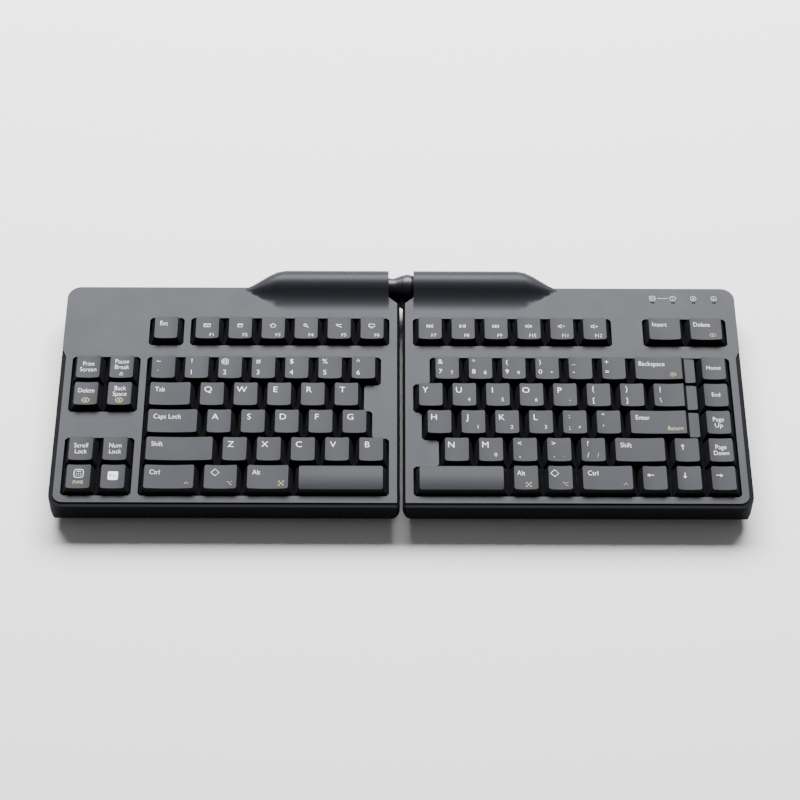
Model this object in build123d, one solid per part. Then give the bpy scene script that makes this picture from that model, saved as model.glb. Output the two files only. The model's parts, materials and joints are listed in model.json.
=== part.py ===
from build123d import *
import os
from math import acos, asin, cos, degrees, pi, radians, sin, sqrt

os.makedirs("parts", exist_ok=True)

# Key grid, measured on the key tops: one pitch is one letter key
pitch = 19.05
block_inset = 7.28
front_margin = 7.475
side_margin = 7.045
block_width_share = 9.5
left_main_share = 7.25
function_row_share = 5.5

# Heights, stacked upwards from the desk
feet_proud = 2.5
floor_thickness = 2.0
rib_height = 1.5
backplate_thickness = 1.0
membrane_thickness = 0.5
sheet_thickness = 0.7
dome_height = 3.4
frame_gap = 0.4
frame_thickness = 2.0
lip_height = 4.0
plate_thickness = 2.0
key_travel = 3.4
travel_spare = 0.4
cap_height = 6.7
rim_step = 0.8
split_drop = 3.5

# Housing outline
rear_margin = 23.4
hump_radius = 10.0
hump_offset = 2.0
hump_drop = 2.5
slit = 1.6
wall = 2.6
inner_wall = 2.2
rim = 2.6
inner_rim = 1.55
ledge = 1.6
seat_clearance = 0.15
corner_radius = 8.0
cavity_chamfer = 4.0
stack_corner = 5.0
tent_relief_radius = 16.0
rim_end_row_share = 4.53
rim_end_slant = 6.0
overrun = 5.0

# Notch for the ball joint at the rear of the slit
notch_half = 7.3
notch_depth = 7.0
funnel_depth = 4.5
notch_corner = 2.0

# Hump along the rear edge, and how it dies away outwards
hump_foot_gap = 5.9
hump_flat_end = 68.0
hump_fade_end = 96.0
hump_fade_steps = 6
hump_facets = 8
hump_fade_radius = 2.0
hump_fade_back = 0.5
hump_fade_front = 5.0
hump_fade_sink = 1.0
hump_wall = 2.0
hump_end_wall = 9.0

# Wells in the covers
well_margin = 0.5
well_corner = 1.5
lip_thickness = 1.2

# Keycaps
key_gap = 0.85
top_side_inset = 2.51
top_front_inset = 1.27
dish_depth = 0.6
dish_facets = 4
bar_crown = 0.8
step_drop = 3.2
step_width = 8.7
step_flank = 2.0
step_inset = 0.6
stem_width = 4.6
stem_clearance = 0.2

# Key frame, dome sheet, membrane and backplate
frame_clearance = 0.35
frame_rear_margin = 2.6
skirt_thickness = 1.5
stack_inset = 5.3
stack_inner_x = 9.8
sheet_clearance = 0.4
dome_base = 8.0
rib_width = 1.5
rib_end_gap = 12.0

# Small rounds that repeat, such as screws and their holes, are drawn with this many sides
small_sides = 12

# Screws that hold each base case to its cover
screw_head_radius = 2.5
screw_head_height = 1.7
screw_radius = 1.25
screw_length = 13.0
screw_clearance = 0.35
pilot_clearance = 0.05
post_width = 7.0
boss_width = 5.2
post_top_gap = 3.0

# Rubber feet
foot_length = 16.0
foot_width = 7.0
foot_chamfer = 1.5
foot_recess = 0.5
foot_clearance = 0.1
foot_edge_gap = 12.0

# Ball joint between the halves
ball_x = 4.2
ball_radius = 5.0
stud_radius = 2.8
stud_head_radius = 4.4
stud_head_length = 2.5
stud_length = 70.0
ball_front_angle = 68.0
ball_back_angle = 108.0
joint_clearance = 0.05
liner_thickness = 0.6
liner_length = 3.2
cavity_radius = 5.9
mouth_inner_angle = 71.0
mouth_outer_angle = 64.0
dome_radius = 7.8
dome_back_angle = 106.0
collar_waist_radius = 6.9
socket_back = 0.3
neck_gap = 0.35
neck_lip_angle = 64.0
neck_cup_angle = 42.5
neck_mouth_angle = 21.0
neck_waist_radius = 5.6
neck_waist_shares = (0.6, 0.75)
neck_root_radius = 5.9
sleeve_length = 5.0

# Lock lever nested in the back of the right hump
lever_pivot_x = 20.0
lever_pivot_offset = 2.65
lever_length = 42.0
lever_height = 5.5
lever_base_z = 10.0
lever_inner_gap = 3.65
lever_hub_radius = 3.2
lever_gap = 0.3
lever_swing_angle = 60.0
lever_pin_radius = 1.5
lever_pin_clearance = 0.05
lever_pin_bite = 1.6

# Controller board and status lights in the right half
light_pitch = 12.0
light_edge_gap = 12.0
light_rear_share = 0.453
light_count = 4
light_length = 2.2
light_width = 1.0
light_gap = 0.05
board_reach = 40.3
board_edge = 3.2
board_post_gap = 0.4
board_front_gap = 3.7
board_rear_gap = 1.5
board_thickness = 1.6
board_height = 3.5
board_post_width = 4.0
chip_size = 9.0
chip_height = 1.2
gland_board_gap = 6.0
gland_width = 9.0
gland_height = 5.4
gland_proud = 2.0
gland_flange = 1.5
gland_flange_rim = 1.0
gland_bore_radius = 1.9
gland_clearance = 0.05
gland_z = 12.4

# Levels and places that follow from the sizes above
case_bottom = feet_proud
floor_top = case_bottom + floor_thickness
backplate_z = floor_top + rib_height
membrane_z = backplate_z + backplate_thickness
sheet_z = membrane_z + membrane_thickness
dome_z = sheet_z + sheet_thickness
dome_top = dome_z + dome_height
frame_z = dome_top + frame_gap
frame_top = frame_z + frame_thickness
plate_z = frame_top + lip_height
plate_top = plate_z + plate_thickness
skirt_z = frame_top + key_travel + travel_spare
key_top = skirt_z + cap_height
rim_top = plate_top - rim_step
split_z = plate_top - split_drop
hump_z = plate_top - hump_drop
hump_front_reach = rear_margin + hump_offset - hump_foot_gap
case_depth = front_margin + function_row_share * pitch + pitch + rear_margin
case_front = -(case_depth + hump_offset + hump_radius) / 2
case_rear = case_front + case_depth
hump_y = case_rear + hump_offset
half_width = block_inset + block_width_share * pitch + side_margin
slit_half = slit / 2
front_row_y = case_front + front_margin + pitch / 2
rim_end_y = front_row_y + rim_end_row_share * pitch
notch_front = case_rear - notch_depth
funnel_front = notch_front - funnel_depth
light_last_x = half_width - light_edge_gap
light_first_x = light_last_x - (light_count - 1) * light_pitch
gland_x = light_first_x - board_reach - gland_board_gap
block_origin = {"left": -(block_inset + left_main_share * pitch), "right": block_inset}

# Keys: node, row, then centre and width of each key in pitches from the block's origin.
# Rows count upwards from the space bar.
left_key_shares = [
    ("key_escape", 5.5, [(0.5, 1)]),
    ("keys_left_function_row", 5.5, [(1.75 + n, 1) for n in range(6)]),
    ("keys_left_number_row", 4, [(0.5 + n, 1) for n in range(7)]),
    ("key_tab", 3, [(0.75, 1.5)]),
    ("keys_left_upper_letters", 3, [(2 + n, 1) for n in range(5)]),
    ("key_caps_lock", 2, [(0.875, 1.75)]),
    ("keys_left_home_letters", 2, [(2.25 + n, 1) for n in range(5)]),
    ("key_left_shift", 1, [(1.125, 2.25)]),
    ("keys_left_lower_letters", 1, [(2.75 + n, 1) for n in range(5)]),
    ("key_left_control", 0, [(0.875, 1.75)]),
    ("key_left_system", 0, [(2.375, 1.25)]),
    ("key_left_alt", 0, [(3.75, 1.5)]),
    ("key_left_space", 0, [(5.875, 2.75)]),
]
right_key_shares = [
    ("keys_right_function_row", 5.5, [(0.5 + n, 1) for n in range(6)]),
    ("key_insert", 5.5, [(7.625, 1.25)]),
    ("key_delete", 5.5, [(8.875, 1.25)]),
    ("keys_right_number_row", 4, [(1 + n, 1) for n in range(6)]),
    ("key_backspace", 4, [(7.5, 2)]),
    ("keys_right_upper_letters", 3, [(0.5 + n, 1) for n in range(7)]),
    ("key_backslash", 3, [(7.75, 1.5)]),
    ("keys_right_home_letters", 2, [(0.75 + n, 1) for n in range(6)]),
    ("key_enter", 2, [(7.375, 2.25)]),
    ("keys_right_lower_letters", 1, [(1.25 + n, 1) for n in range(5)]),
    ("key_right_shift", 1, [(6.625, 1.75)]),
    ("key_arrow_up", 1, [(8, 1)]),
    ("key_right_space", 0, [(1.375, 2.75)]),
    ("key_right_alt", 0, [(3.25, 1)]),
    ("key_right_system", 0, [(4.25, 1)]),
    ("key_right_control", 0, [(5.625, 1.75)]),
    ("key_arrow_left", 0, [(7, 1)]),
    ("key_arrow_down", 0, [(8, 1)]),
    ("key_arrow_right", 0, [(9, 1)]),
]
cluster_centre_shares = (-1.75, -0.75)
navigation_centre_share = 9.0
upper_cluster_rows = (3, 4)
lower_cluster_rows = (0, 1)
stepped_keys = ("key_backspace", "key_backslash", "key_enter")
space_bars = ("key_left_space", "key_right_space")

# Wells: for each one its rows, and where it starts and ends in pitches from the block's origin
left_well_shares = [
    [(5.5, 0, 1)],
    [(5.5, 1.25, 7.25)],
    [(3, -2.25, -0.25), (4, -2.25, -0.25)],
    [(0, -2.25, -0.25), (1, -2.25, -0.25)],
    [(4, 0, 7), (3, 0, 6.5), (2, 0, 6.75), (1, 0, 7.25), (0, 0, 7.25)],
]
right_well_shares = [
    [(5.5, 0, 6)],
    [(5.5, 7, 9.5)],
    [(4, 0.5, 9.5), (3, 0, 9.5), (2, 0.25, 9.5), (1, 0.75, 9.5), (0, 0, 9.5)],
]

# Screws: for each one its distance outwards in pitches from the block's inset, and its row
screw_shares = {
    "left": [(9.2, 6.42), (8.6, 2)],
    "right": [(9.2, 6.42), (6.5, 5.5)],
}
rib_shares = (0.24, 0.45, 0.63, 0.82)


def row_y(row):
    """Centre of a row of keys."""
    return front_row_y + row * pitch


def key_x(side, centre_share):
    """Centre of a key across the keyboard."""
    return block_origin[side] + centre_share * pitch


def prism(face, z_low, z_high):
    """A plan outline carried from one level up to another."""
    return extrude(Pos(0, 0, z_low) * face, amount=z_high - z_low)


def rectangle(x_low, y_low, x_high, y_high):
    """A plan rectangle between two corners."""
    centre = Pos((x_low + x_high) / 2, (y_low + y_high) / 2)
    return centre * Rectangle(x_high - x_low, y_high - y_low)


def block(x_low, y_low, z_low, x_high, y_high, z_high):
    """A box between two corners."""
    return prism(rectangle(x_low, y_low, x_high, y_high), z_low, z_high)


def small_round(x, y, radius):
    """Plan of a small round, such as a screw's shank or its hole."""
    return Pos(x, y) * RegularPolygon(radius, small_sides)


def polygon(points):
    """A plan face through the points given."""
    return make_face(Polyline(*points, close=True))


def place(part, side):
    """Pieces are made for the right half and mirrored for the left."""
    return mirror(part, about=Plane.YZ) if side == "left" else part


def write(name, solids):
    """Writes one node, whether it is one solid or a group of alike ones."""
    group = [solid for item in solids for solid in item.solids()]
    export_step(Compound(children=group) if len(group) > 1 else group[0], f"parts/{name}.step")


# Keycaps


def across(edges, reach=pitch):
    """A section seen from the front, carried both ways from front to rear."""
    return extrude(make_face(edges), amount=reach, dir=(0, 1, 0), both=True)


def along(edges, reach):
    """A section seen from the side, carried both ways over the width."""
    return extrude(make_face(edges), amount=reach, dir=(1, 0, 0), both=True)


def front_edges(half, form):
    """Front section of a cap: skirt, flanks, dished top and, on a stepped one, its low shelf.

    The dish is drawn with a few straight facets, because it repeats on every key.
    """
    shelf = key_top - step_drop
    left = -half + top_side_inset
    right = half - (step_width - key_gap / 2 if form == "stepped" else top_side_inset)
    path = [(left, 0, key_top), (-half, 0, skirt_z), (half, 0, skirt_z)]
    if form == "stepped":
        lean = step_flank * step_drop / cap_height
        path += [(half - step_inset, 0, shelf), (right + lean, 0, shelf)]
    path.append((right, 0, key_top))
    if form != "bar":
        for n in range(1, dish_facets):
            share = 1 - n / dish_facets
            dip = dish_depth * 4 * share * (1 - share)
            path.append((left + (right - left) * share, 0, key_top - dip))
    return [Polyline(*path, close=True)]


def side_edges(form):
    """Side section of a cap: leaning front and back, and a crowned top on a space bar."""
    half = (pitch - key_gap) / 2
    top = half - top_front_inset
    level = key_top - (bar_crown if form == "bar" else 0)
    walls = Polyline((0, top, level), (0, half, skirt_z), (0, -half, skirt_z), (0, -top, level))
    if form == "bar":
        return [walls, ThreePointArc((0, -top, level), (0, 0, key_top), (0, top, level))]
    return [walls, Line((0, -top, level), (0, top, level))]


def keycap(width_share, form):
    """One cap with its guide stem, standing at the middle of its own cell.

    The cap repeats on every key and closes its own underside, so it is left solid inside.
    """
    half = (width_share * pitch - key_gap) / 2
    cap = across(front_edges(half, form)) & along(side_edges(form), 2 * half)
    stem = stem_width / 2
    return cap + block(-stem, -stem, dome_top, stem, stem, skirt_z)


def key_nodes(side):
    """Every key node of one half as (name, [(x, y, width share)])."""
    shares = left_key_shares if side == "left" else right_key_shares
    nodes = []
    for name, row, keys in shares:
        nodes.append((name, [(key_x(side, c), row_y(row), w) for c, w in keys]))
    if side == "left":
        for name, rows in (
            ("keys_upper_cluster", upper_cluster_rows),
            ("keys_lower_cluster", lower_cluster_rows),
        ):
            spots = [(key_x(side, c), row_y(r), 1) for r in rows for c in cluster_centre_shares]
            nodes.append((name, spots))
    else:
        column_x = key_x(side, navigation_centre_share)
        nodes.append(("keys_navigation", [(column_x, row_y(r), 1) for r in range(1, 5)]))
    return nodes


def make_keys(side):
    """Writes the key nodes of one half and returns every key's centre."""
    centres = []
    for name, keys in key_nodes(side):
        form = "stepped" if name in stepped_keys else "bar" if name in space_bars else "dished"
        caps = {w: keycap(w, form) for _, _, w in keys}
        write(name, [Pos(x, y) * caps[w] for x, y, w in keys])
        centres += [(abs(x), y) for x, y, _ in keys]
    return centres


# Housing outlines, in the plan of the right half


def half_outline(inset, inner):
    """The plan of one half, drawn in from its outer sides, with round outer corners."""
    face = rectangle(inner, case_front + inset, half_width - inset, case_rear - inset)
    outer = face.vertices().sort_by(Axis.X)[2:]
    return fillet(outer, corner_radius - inset)


def notch_outline(inset, inner):
    """What the ball joint's notch takes out of the plan, grown by an inset."""
    points = [
        (-overrun, case_rear + overrun),
        (notch_half + inset, case_rear + overrun),
        (notch_half + inset, notch_front - inset),
        (inner, funnel_front - inset),
        (-overrun, funnel_front - inset),
    ]
    face = polygon(points)
    corner = face.vertices().filter_by_position(Axis.X, inner + slit_half / 2, notch_half + inset * 2)
    low = corner.sort_by(Axis.Y)[0]
    return fillet(low, notch_corner)


def rear_zone(gap):
    """The rear part of the plan, where the cover reaches the full width."""
    low = rim_end_y - gap
    reach = 2 * rim
    return polygon(
        [
            (-overrun, low),
            (half_width - rim, low),
            (half_width - rim + reach, low + rim_end_slant * reach / rim),
            (half_width - rim + reach, case_rear + overrun),
            (-overrun, case_rear + overrun),
        ]
    )


def cover_outline():
    """The plan of a grey cover: inside the rim in front, full width behind."""
    inner = slit_half + inner_rim
    front = rectangle(inner, case_front + rim, half_width - rim, case_rear)
    front = fillet(front.vertices().group_by(Axis.Y)[0].sort_by(Axis.X)[-1:], corner_radius - rim)
    back = rectangle(inner, rim_end_y - pitch, half_width, case_rear)
    back = fillet(back.vertices().group_by(Axis.Y)[-1].sort_by(Axis.X)[-1:], corner_radius)
    back &= rear_zone(0)
    front -= rear_zone(0)
    return front + back - notch_outline(0, inner)


def well_face(bands, side, grow):
    """One well, from its rows, in the plan of the right half."""
    face = None
    for row, start, end in bands:
        xs = sorted(abs(key_x(side, share)) for share in (start, end))
        half = pitch / 2 + well_margin + grow
        band = rectangle(
            xs[0] - well_margin - grow, row_y(row) - half, xs[1] + well_margin + grow, row_y(row) + half
        )
        face = band if face is None else face + band
    return face


# Hump


def fade(step):
    """Height share of the hump at a step of its fade: one inside, none at its end."""
    t = 1 - step / hump_fade_steps
    return t * t * (3 - 2 * t)


def hump_circle(share):
    """Axis and radius of the hump's round where a share of it is left."""
    radius = hump_fade_radius + share * (hump_radius - hump_fade_radius)
    full_back = hump_y + hump_radius
    back = case_rear - hump_fade_back + share * (full_back - case_rear + hump_fade_back)
    return back - radius, radius


def arc_points(centre, radius, start, end, count):
    """Points in the (y, z) plane along an arc, with angles taken from straight up, rearwards."""
    angles = [start + (end - start) * n / count for n in range(count + 1)]
    return [(centre[0] + radius * sin(a), centre[1] + radius * cos(a)) for a in angles]


def hump_points(share, inset):
    """Section of the cover's hump: round crest, then a hollow flank down to the plate."""
    y, radius = hump_circle(share)
    level = plate_top - (1 - share) * hump_fade_sink
    reach = hump_fade_front + share * (hump_front_reach - hump_fade_front)
    drop = hump_z - level
    flank = (reach * reach + drop * drop - radius * radius) / (2 * (radius + drop))
    lean = asin(reach / (radius + flank))
    radius -= inset
    back = acos((split_z - hump_z) / radius)
    crest = arc_points((y, hump_z), radius, back, -lean, hump_facets)
    hollow = arc_points((y - reach, level + flank), flank + inset, pi - lean, pi, hump_facets // 2)
    low = split_z - (overrun if inset else 0)
    return [(y - reach, low), (crest[0][0], low)] + crest[1 - bool(inset) :] + hollow[1:]


def hump_section(x, share, inset):
    """The section of the cover's hump as a face at x."""
    return make_face(Polyline(*[(x, y, z) for y, z in hump_points(share, inset)], close=True))


def under_section(x, share):
    """Section of the base case's half of the hump at x, below the parting line."""
    y, radius = hump_circle(share)
    inner = case_rear - wall / 2
    back = acos((split_z - hump_z) / radius)
    under = arc_points((y, hump_z), radius, back, pi - asin((inner - y) / radius), hump_facets // 2)
    points = [(inner, split_z)] + under
    return make_face(Polyline(*[(x, y, z) for y, z in points], close=True))


def fade_x(step):
    """Place of a step of the hump's fade."""
    return hump_flat_end + (hump_fade_end - hump_flat_end) * step / hump_fade_steps


def joint_axis(profile):
    """Turns a half profile, drawn along x and outwards, about the ball joint's axis."""
    return Pos(0, hump_y, hump_z) * revolve(profile, Axis.X)


def joint_rod(radius, x_low, x_high):
    """A round bar on the ball joint's axis."""
    length = x_high - x_low
    return Pos((x_low + x_high) / 2, hump_y, hump_z) * Rot(0, 90, 0) * Cylinder(radius, length)


def make_cover(side, spots):
    """The grey cover of one half: plate, wells with their lips, hump and screw bosses."""
    outline = cover_outline()
    cover = prism(outline, plate_z, plate_top)
    ring = outline - offset(outline, amount=-wall, kind=Kind.INTERSECTION)
    cover += prism(ring & rear_zone(0), split_z, plate_z)
    straight = extrude(hump_section(notch_half, 1, 0), amount=hump_flat_end - notch_half, dir=(1, 0, 0))
    steps = range(hump_fade_steps + 1)
    dying = loft([hump_section(fade_x(n), fade(n), 0) for n in steps], ruled=True)
    cover += straight
    cover += dying
    hollow = hump_section(notch_half + hump_end_wall, 1, hump_wall)
    run = hump_flat_end - notch_half - hump_end_wall
    cover -= extrude(hollow, amount=run, dir=(1, 0, 0))
    bands = left_well_shares if side == "left" else right_well_shares
    wells = [well_face(band, side, 0) for band in bands]
    for band in bands:
        cover += prism(well_face(band, side, lip_thickness), frame_top, plate_z)
    for well in wells:
        cover -= prism(chamfer(well.vertices(), well_corner), frame_top - overrun, plate_top + overrun)
    for x, y in spots:
        half = boss_width / 2
        cover += block(x - half, y - half, post_top(), x + half, y + half, plate_z)
        pilot = small_round(x, y, screw_radius + pilot_clearance)
        cover -= prism(pilot, post_top() - overrun, screw_tip() + screw_clearance)
    if side == "left":
        cover -= joint_rod(neck_root_radius, -overrun, notch_half + sleeve_length)
    else:
        cover -= joint_rod(collar_waist_radius, 0, notch_half + sleeve_length)
        for n in range(light_count):
            cover -= prism(light_face(n, light_gap), plate_z - overrun, plate_top + overrun)
    return cover


def post_top():
    """Level where the base case's screw posts meet the cover's bosses."""
    return frame_z - post_top_gap


def screw_seat():
    """Level of the face that a screw's head pulls against."""
    return case_bottom


def screw_tip():
    """Level of a screw's point."""
    return screw_seat() + screw_length


def light_face(n, gap):
    """Plan of one status light's slot."""
    x = light_first_x + n * light_pitch
    y = case_rear - light_rear_share * rear_margin
    return Pos(x, y) * Rectangle(light_length + 2 * gap, light_width + 2 * gap)


def case_section(lengthwise):
    """The base case's outline seen from the side or the front, with round lower corners."""
    if lengthwise:
        sketch = Plane.YZ * rectangle(case_front, case_bottom, case_rear, rim_top)
        corners = sketch.vertices().group_by(Axis.Z)[0]
    else:
        sketch = Plane.XZ * rectangle(slit_half, case_bottom, half_width, rim_top)
        corners = sketch.vertices().group_by(Axis.Z)[0].sort_by(Axis.X)[-1:]
    return fillet(corners, corner_radius).wire()


def make_case(side, spots, feet):
    """The black base case of one half: rounded tray, rim, ledge, ribs, posts and half the hump."""
    body = prism(half_outline(0, slit_half), case_bottom, rim_top)
    body &= across([case_section(False)], 2 * case_depth)
    body &= along([case_section(True)], 2 * half_width)
    relief_x = slit_half + tent_relief_radius
    relief = block(-overrun, case_front - overrun, -overrun, relief_x, case_rear + overrun, hump_z)
    round_x = Pos(relief_x, 0, hump_z) * Rot(90, 0, 0)
    relief -= round_x * Cylinder(tent_relief_radius, 3 * case_depth)
    body -= relief
    steps = range(hump_fade_steps + 1)
    under = under_section(notch_half, 1)
    body += extrude(under, amount=hump_flat_end - notch_half, dir=(1, 0, 0))
    body += loft([under_section(fade_x(n), fade(n)) for n in steps], ruled=True)
    body -= prism(notch_outline(0, slit_half), -overrun, plate_top + overrun)
    cavity = prism(half_outline(wall, slit_half + inner_wall), floor_top, split_z)
    low = cavity.edges().group_by(Axis.Z)[0].sort_by(Axis.X)[1:]
    cavity = chamfer(low, cavity_chamfer)
    inner_round = round_x * Cylinder(tent_relief_radius - inner_wall, 3 * case_depth)
    beyond = block(relief_x, case_front, floor_top, half_width, case_rear, split_z)
    cavity &= inner_round + beyond
    cavity -= prism(notch_outline(wall, slit_half + inner_wall), 0, plate_top)
    body -= cavity
    opening = half_outline(wall + ledge, slit_half + inner_wall + ledge)
    body -= prism(opening - notch_outline(wall + ledge, slit_half + inner_wall), split_z, plate_top)
    seat = offset(cover_outline(), amount=seat_clearance, kind=Kind.INTERSECTION)
    body -= prism(seat, plate_z, plate_top)
    rear = rear_zone(seat_clearance)
    rear -= rectangle(-2 * overrun, 0, slit_half + inner_rim - seat_clearance, case_rear + 2 * overrun)
    body -= prism(rear, split_z, plate_top + overrun)
    for share in rib_shares:
        x = share * half_width
        low_y = case_front + stack_inset + rib_end_gap
        high_y = stack_rear() - rib_end_gap
        body += block(x - rib_width / 2, low_y, floor_top, x + rib_width / 2, high_y, backplate_z)
    for x, y in spots:
        half = post_width / 2
        body += block(x - half, y - half, floor_top, x + half, y + half, post_top())
        hole = small_round(x, y, screw_radius + screw_clearance)
        body -= prism(hole, case_bottom - overrun, post_top())
    for x, y in feet:
        body -= prism(foot_face(x, y, foot_clearance), case_bottom - overrun, case_bottom + foot_recess)
    return body


def foot_face(x, y, gap):
    """Plan of one rubber foot."""
    face = Rectangle(foot_width + 2 * gap, foot_length + 2 * gap)
    return Pos(x, y) * chamfer(face.vertices(), foot_chamfer)


def feet_places():
    """Plan places of the four feet under one half."""
    inner = slit_half + tent_relief_radius + foot_edge_gap / 2
    outer = half_width - corner_radius - foot_edge_gap
    front = case_front + corner_radius + foot_edge_gap
    rear = case_rear - corner_radius - foot_edge_gap
    return [(x, y) for x in (inner, outer) for y in (front, rear)]


def stack_rear():
    """Rear edge of the backplate."""
    return row_y(function_row_share) + pitch / 2 + frame_rear_margin


def stack_face(inset, inner):
    """Plan of the backplate, or of what lies drawn in on it, with its front outer corner cut."""
    outer = half_width - stack_inset - inset
    face = rectangle(inner, case_front + stack_inset + inset, outer, stack_rear() - inset)
    return chamfer(face.vertices().group_by(Axis.Y)[0].sort_by(Axis.X)[-1:], stack_corner - inset)


def make_stack(side, keys, spots):
    """Backplate, membrane, dome sheet and key frame of one half."""
    half = post_width / 2 + sheet_clearance
    pillars = [rectangle(x - half, y - half, x + half, y + half) for x, y in spots]
    plate = stack_face(0, stack_inner_x)
    drawn_in = skirt_thickness + sheet_clearance
    soft = stack_face(drawn_in, stack_inner_x + drawn_in)
    skirt = plate - stack_face(skirt_thickness, stack_inner_x + skirt_thickness)
    deck = rectangle(
        slit_half + inner_wall + ledge,
        case_front + wall + frame_clearance,
        half_width - wall - frame_clearance,
        stack_rear(),
    )
    deck = chamfer(deck.vertices().group_by(Axis.Y)[0].sort_by(Axis.X)[-1:], stack_corner)
    for pillar in pillars:
        plate -= pillar
        soft -= pillar
        deck -= pillar
    backplate = prism(plate, backplate_z, membrane_z)
    membrane = prism(soft, membrane_z, sheet_z)
    sheet = prism(soft, sheet_z, dome_z)
    for x, y in keys:
        dome = Pos(x, y, dome_z) * Rectangle(dome_base, dome_base)
        sheet += extrude(dome, amount=dome_height, taper=dome_slope())
    hole = stem_width + 2 * stem_clearance
    for x, y in keys:
        deck -= Pos(x, y) * Rectangle(hole, hole)
    frame = prism(deck, frame_z, frame_top) + prism(skirt, membrane_z, frame_z)
    return backplate, membrane, sheet, frame


def dome_slope():
    """Lean of a dome's sides, from its base to the stem that stands on it."""
    lean = (dome_base - stem_width) / 2
    return degrees(acos(dome_height / sqrt(dome_height * dome_height + lean * lean)))


# Ball joint


def polar(angle, radius):
    """Point at an angle from the joint's axis, seen from the ball's centre towards the left."""
    turn = radians(angle)
    return ball_x - radius * cos(turn), radius * sin(turn)


def hex_bar(radius, x_low, x_high):
    """A hexagonal bar on the ball joint's axis, by its radius over the corners."""
    section = Plane(origin=(x_low, hump_y, hump_z), x_dir=(0, 1, 0), z_dir=(1, 0, 0))
    return extrude(section * RegularPolygon(radius, 6), amount=x_high - x_low)


def stud_bar(gap):
    """The stud's hexagonal bar with its wider far end, grown by a gap."""
    root = ball_x - stud_length
    bar = hex_bar(stud_radius + gap, root, ball_x)
    return bar + hex_bar(stud_head_radius + gap, root - gap, root + stud_head_length + gap)


def make_ball_stud():
    """Steel stud: a ball, flat behind, that a cone joins to the bar that the left half clamps."""
    start = (ball_x - ball_radius, stud_radius)
    front = polar(ball_front_angle, ball_radius)
    back = polar(ball_back_angle, ball_radius)
    ball = make_face(
        [
            Polyline((start[0], 0), start, front),
            ThreePointArc(front, polar((ball_front_angle + ball_back_angle) / 2, ball_radius), back),
            Polyline(back, (back[0], 0), (start[0], 0)),
        ]
    )
    return joint_axis(ball) + stud_bar(0)


def make_liner():
    """Nylon ring that bears on the ball's equator and turns with it in the socket."""
    inner = ball_radius + joint_clearance
    ring = polygon(
        [
            (ball_x - liner_length / 2, inner),
            (ball_x + liner_length / 2, inner),
            (ball_x + liner_length / 2, inner + liner_thickness),
            (ball_x - liner_length / 2, inner + liner_thickness),
        ]
    )
    return joint_axis(ring)


def collar_profile():
    """Half section of the socket collar: mouth, domed outside, waist and cylindrical bore."""
    root = notch_half + sleeve_length
    mouth = polar(mouth_inner_angle, cavity_radius)
    lip = polar(mouth_outer_angle, dome_radius)
    back = polar(dome_back_angle, dome_radius)
    bore_end = ball_x + cavity_radius + socket_back
    return make_face(
        [
            Line(mouth, lip),
            ThreePointArc(lip, polar((mouth_outer_angle + dome_back_angle) / 2, dome_radius), back),
            Line(back, (notch_half, collar_waist_radius)),
            Line((notch_half, collar_waist_radius), (root, collar_waist_radius)),
            Line((root, collar_waist_radius), (root, 0)),
            Line((root, 0), (bore_end, 0)),
            Line((bore_end, 0), (bore_end, cavity_radius)),
            Line((bore_end, cavity_radius), (mouth[0], cavity_radius)),
            Line((mouth[0], cavity_radius), mouth),
        ]
    )


def neck_profile():
    """Half section of the left neck: cup of two cones over the collar, waist and root."""
    reach = dome_radius + neck_gap
    apex = reach / cos(radians((neck_lip_angle - neck_mouth_angle) / 4))
    lip = polar(neck_lip_angle, apex)
    bend = polar(neck_cup_angle, apex)
    cup = polar(neck_mouth_angle, apex)
    root = -notch_half - sleeve_length
    waist = [
        (lip[0] + (-notch_half - lip[0]) * share, neck_waist_radius) for share in neck_waist_shares
    ]
    return polygon(
        [
            (cup[0], 0),
            cup,
            bend,
            lip,
            *waist,
            (-notch_half, neck_root_radius),
            (root, neck_root_radius),
            (root, 0),
        ]
    )


# Lock lever


def lever_face(gap):
    """Plan of the lever: hub at its pin, then the arm outwards along the hump's back."""
    pivot_y = hump_y + lever_pivot_offset
    hub = Pos(lever_pivot_x, pivot_y) * Circle(lever_hub_radius + gap)
    low = hump_y + lever_inner_gap - gap
    end = lever_pivot_x + lever_length + gap
    return hub + rectangle(lever_pivot_x - gap, low, end, hump_y + hump_radius + gap)


def make_lever():
    """The lever, shaped outside like the hump that it nests in."""
    lever = prism(lever_face(0), lever_base_z, lever_base_z + lever_height)
    lever &= joint_rod(hump_radius, 0, lever_pivot_x + 2 * lever_length)
    bore = Pos(lever_pivot_x, hump_y + lever_pivot_offset) * Circle(lever_pin_radius + lever_pin_clearance)
    return lever - prism(bore, 0, plate_top)


def lever_pocket():
    """The room that the base case leaves for the lever, and for its corner as it swings out."""
    low = lever_base_z - lever_gap
    pivot_y = hump_y + lever_pivot_offset
    reach = (hump_radius - lever_pivot_offset) / cos(radians(lever_swing_angle / 2)) + lever_gap
    swing = Pos(lever_pivot_x, pivot_y) * Circle(reach)
    swing &= rectangle(lever_pivot_x - reach, pivot_y, lever_pivot_x, pivot_y + reach)
    return prism(lever_face(lever_gap) + swing, low, lever_base_z + lever_height + lever_gap)


def lever_pin_face(gap):
    """Plan of the lever's pin."""
    return small_round(lever_pivot_x, hump_y + lever_pivot_offset, lever_pin_radius + gap)


def lever_pin_span():
    """Lowest and highest level of the lever's pin."""
    top = lever_base_z + lever_height + lever_gap
    return lever_base_z - lever_gap - lever_pin_bite, top + lever_pin_bite


# Controller board and cable gland


def board_span():
    """Plan of the controller board, under the status lights."""
    y_low = stack_rear() + board_front_gap
    y_high = case_rear - wall - board_rear_gap
    return light_first_x - board_reach, y_low, light_last_x + board_edge, y_high


def board_top():
    """Level of the board's upper face."""
    return floor_top + board_height + board_thickness


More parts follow.
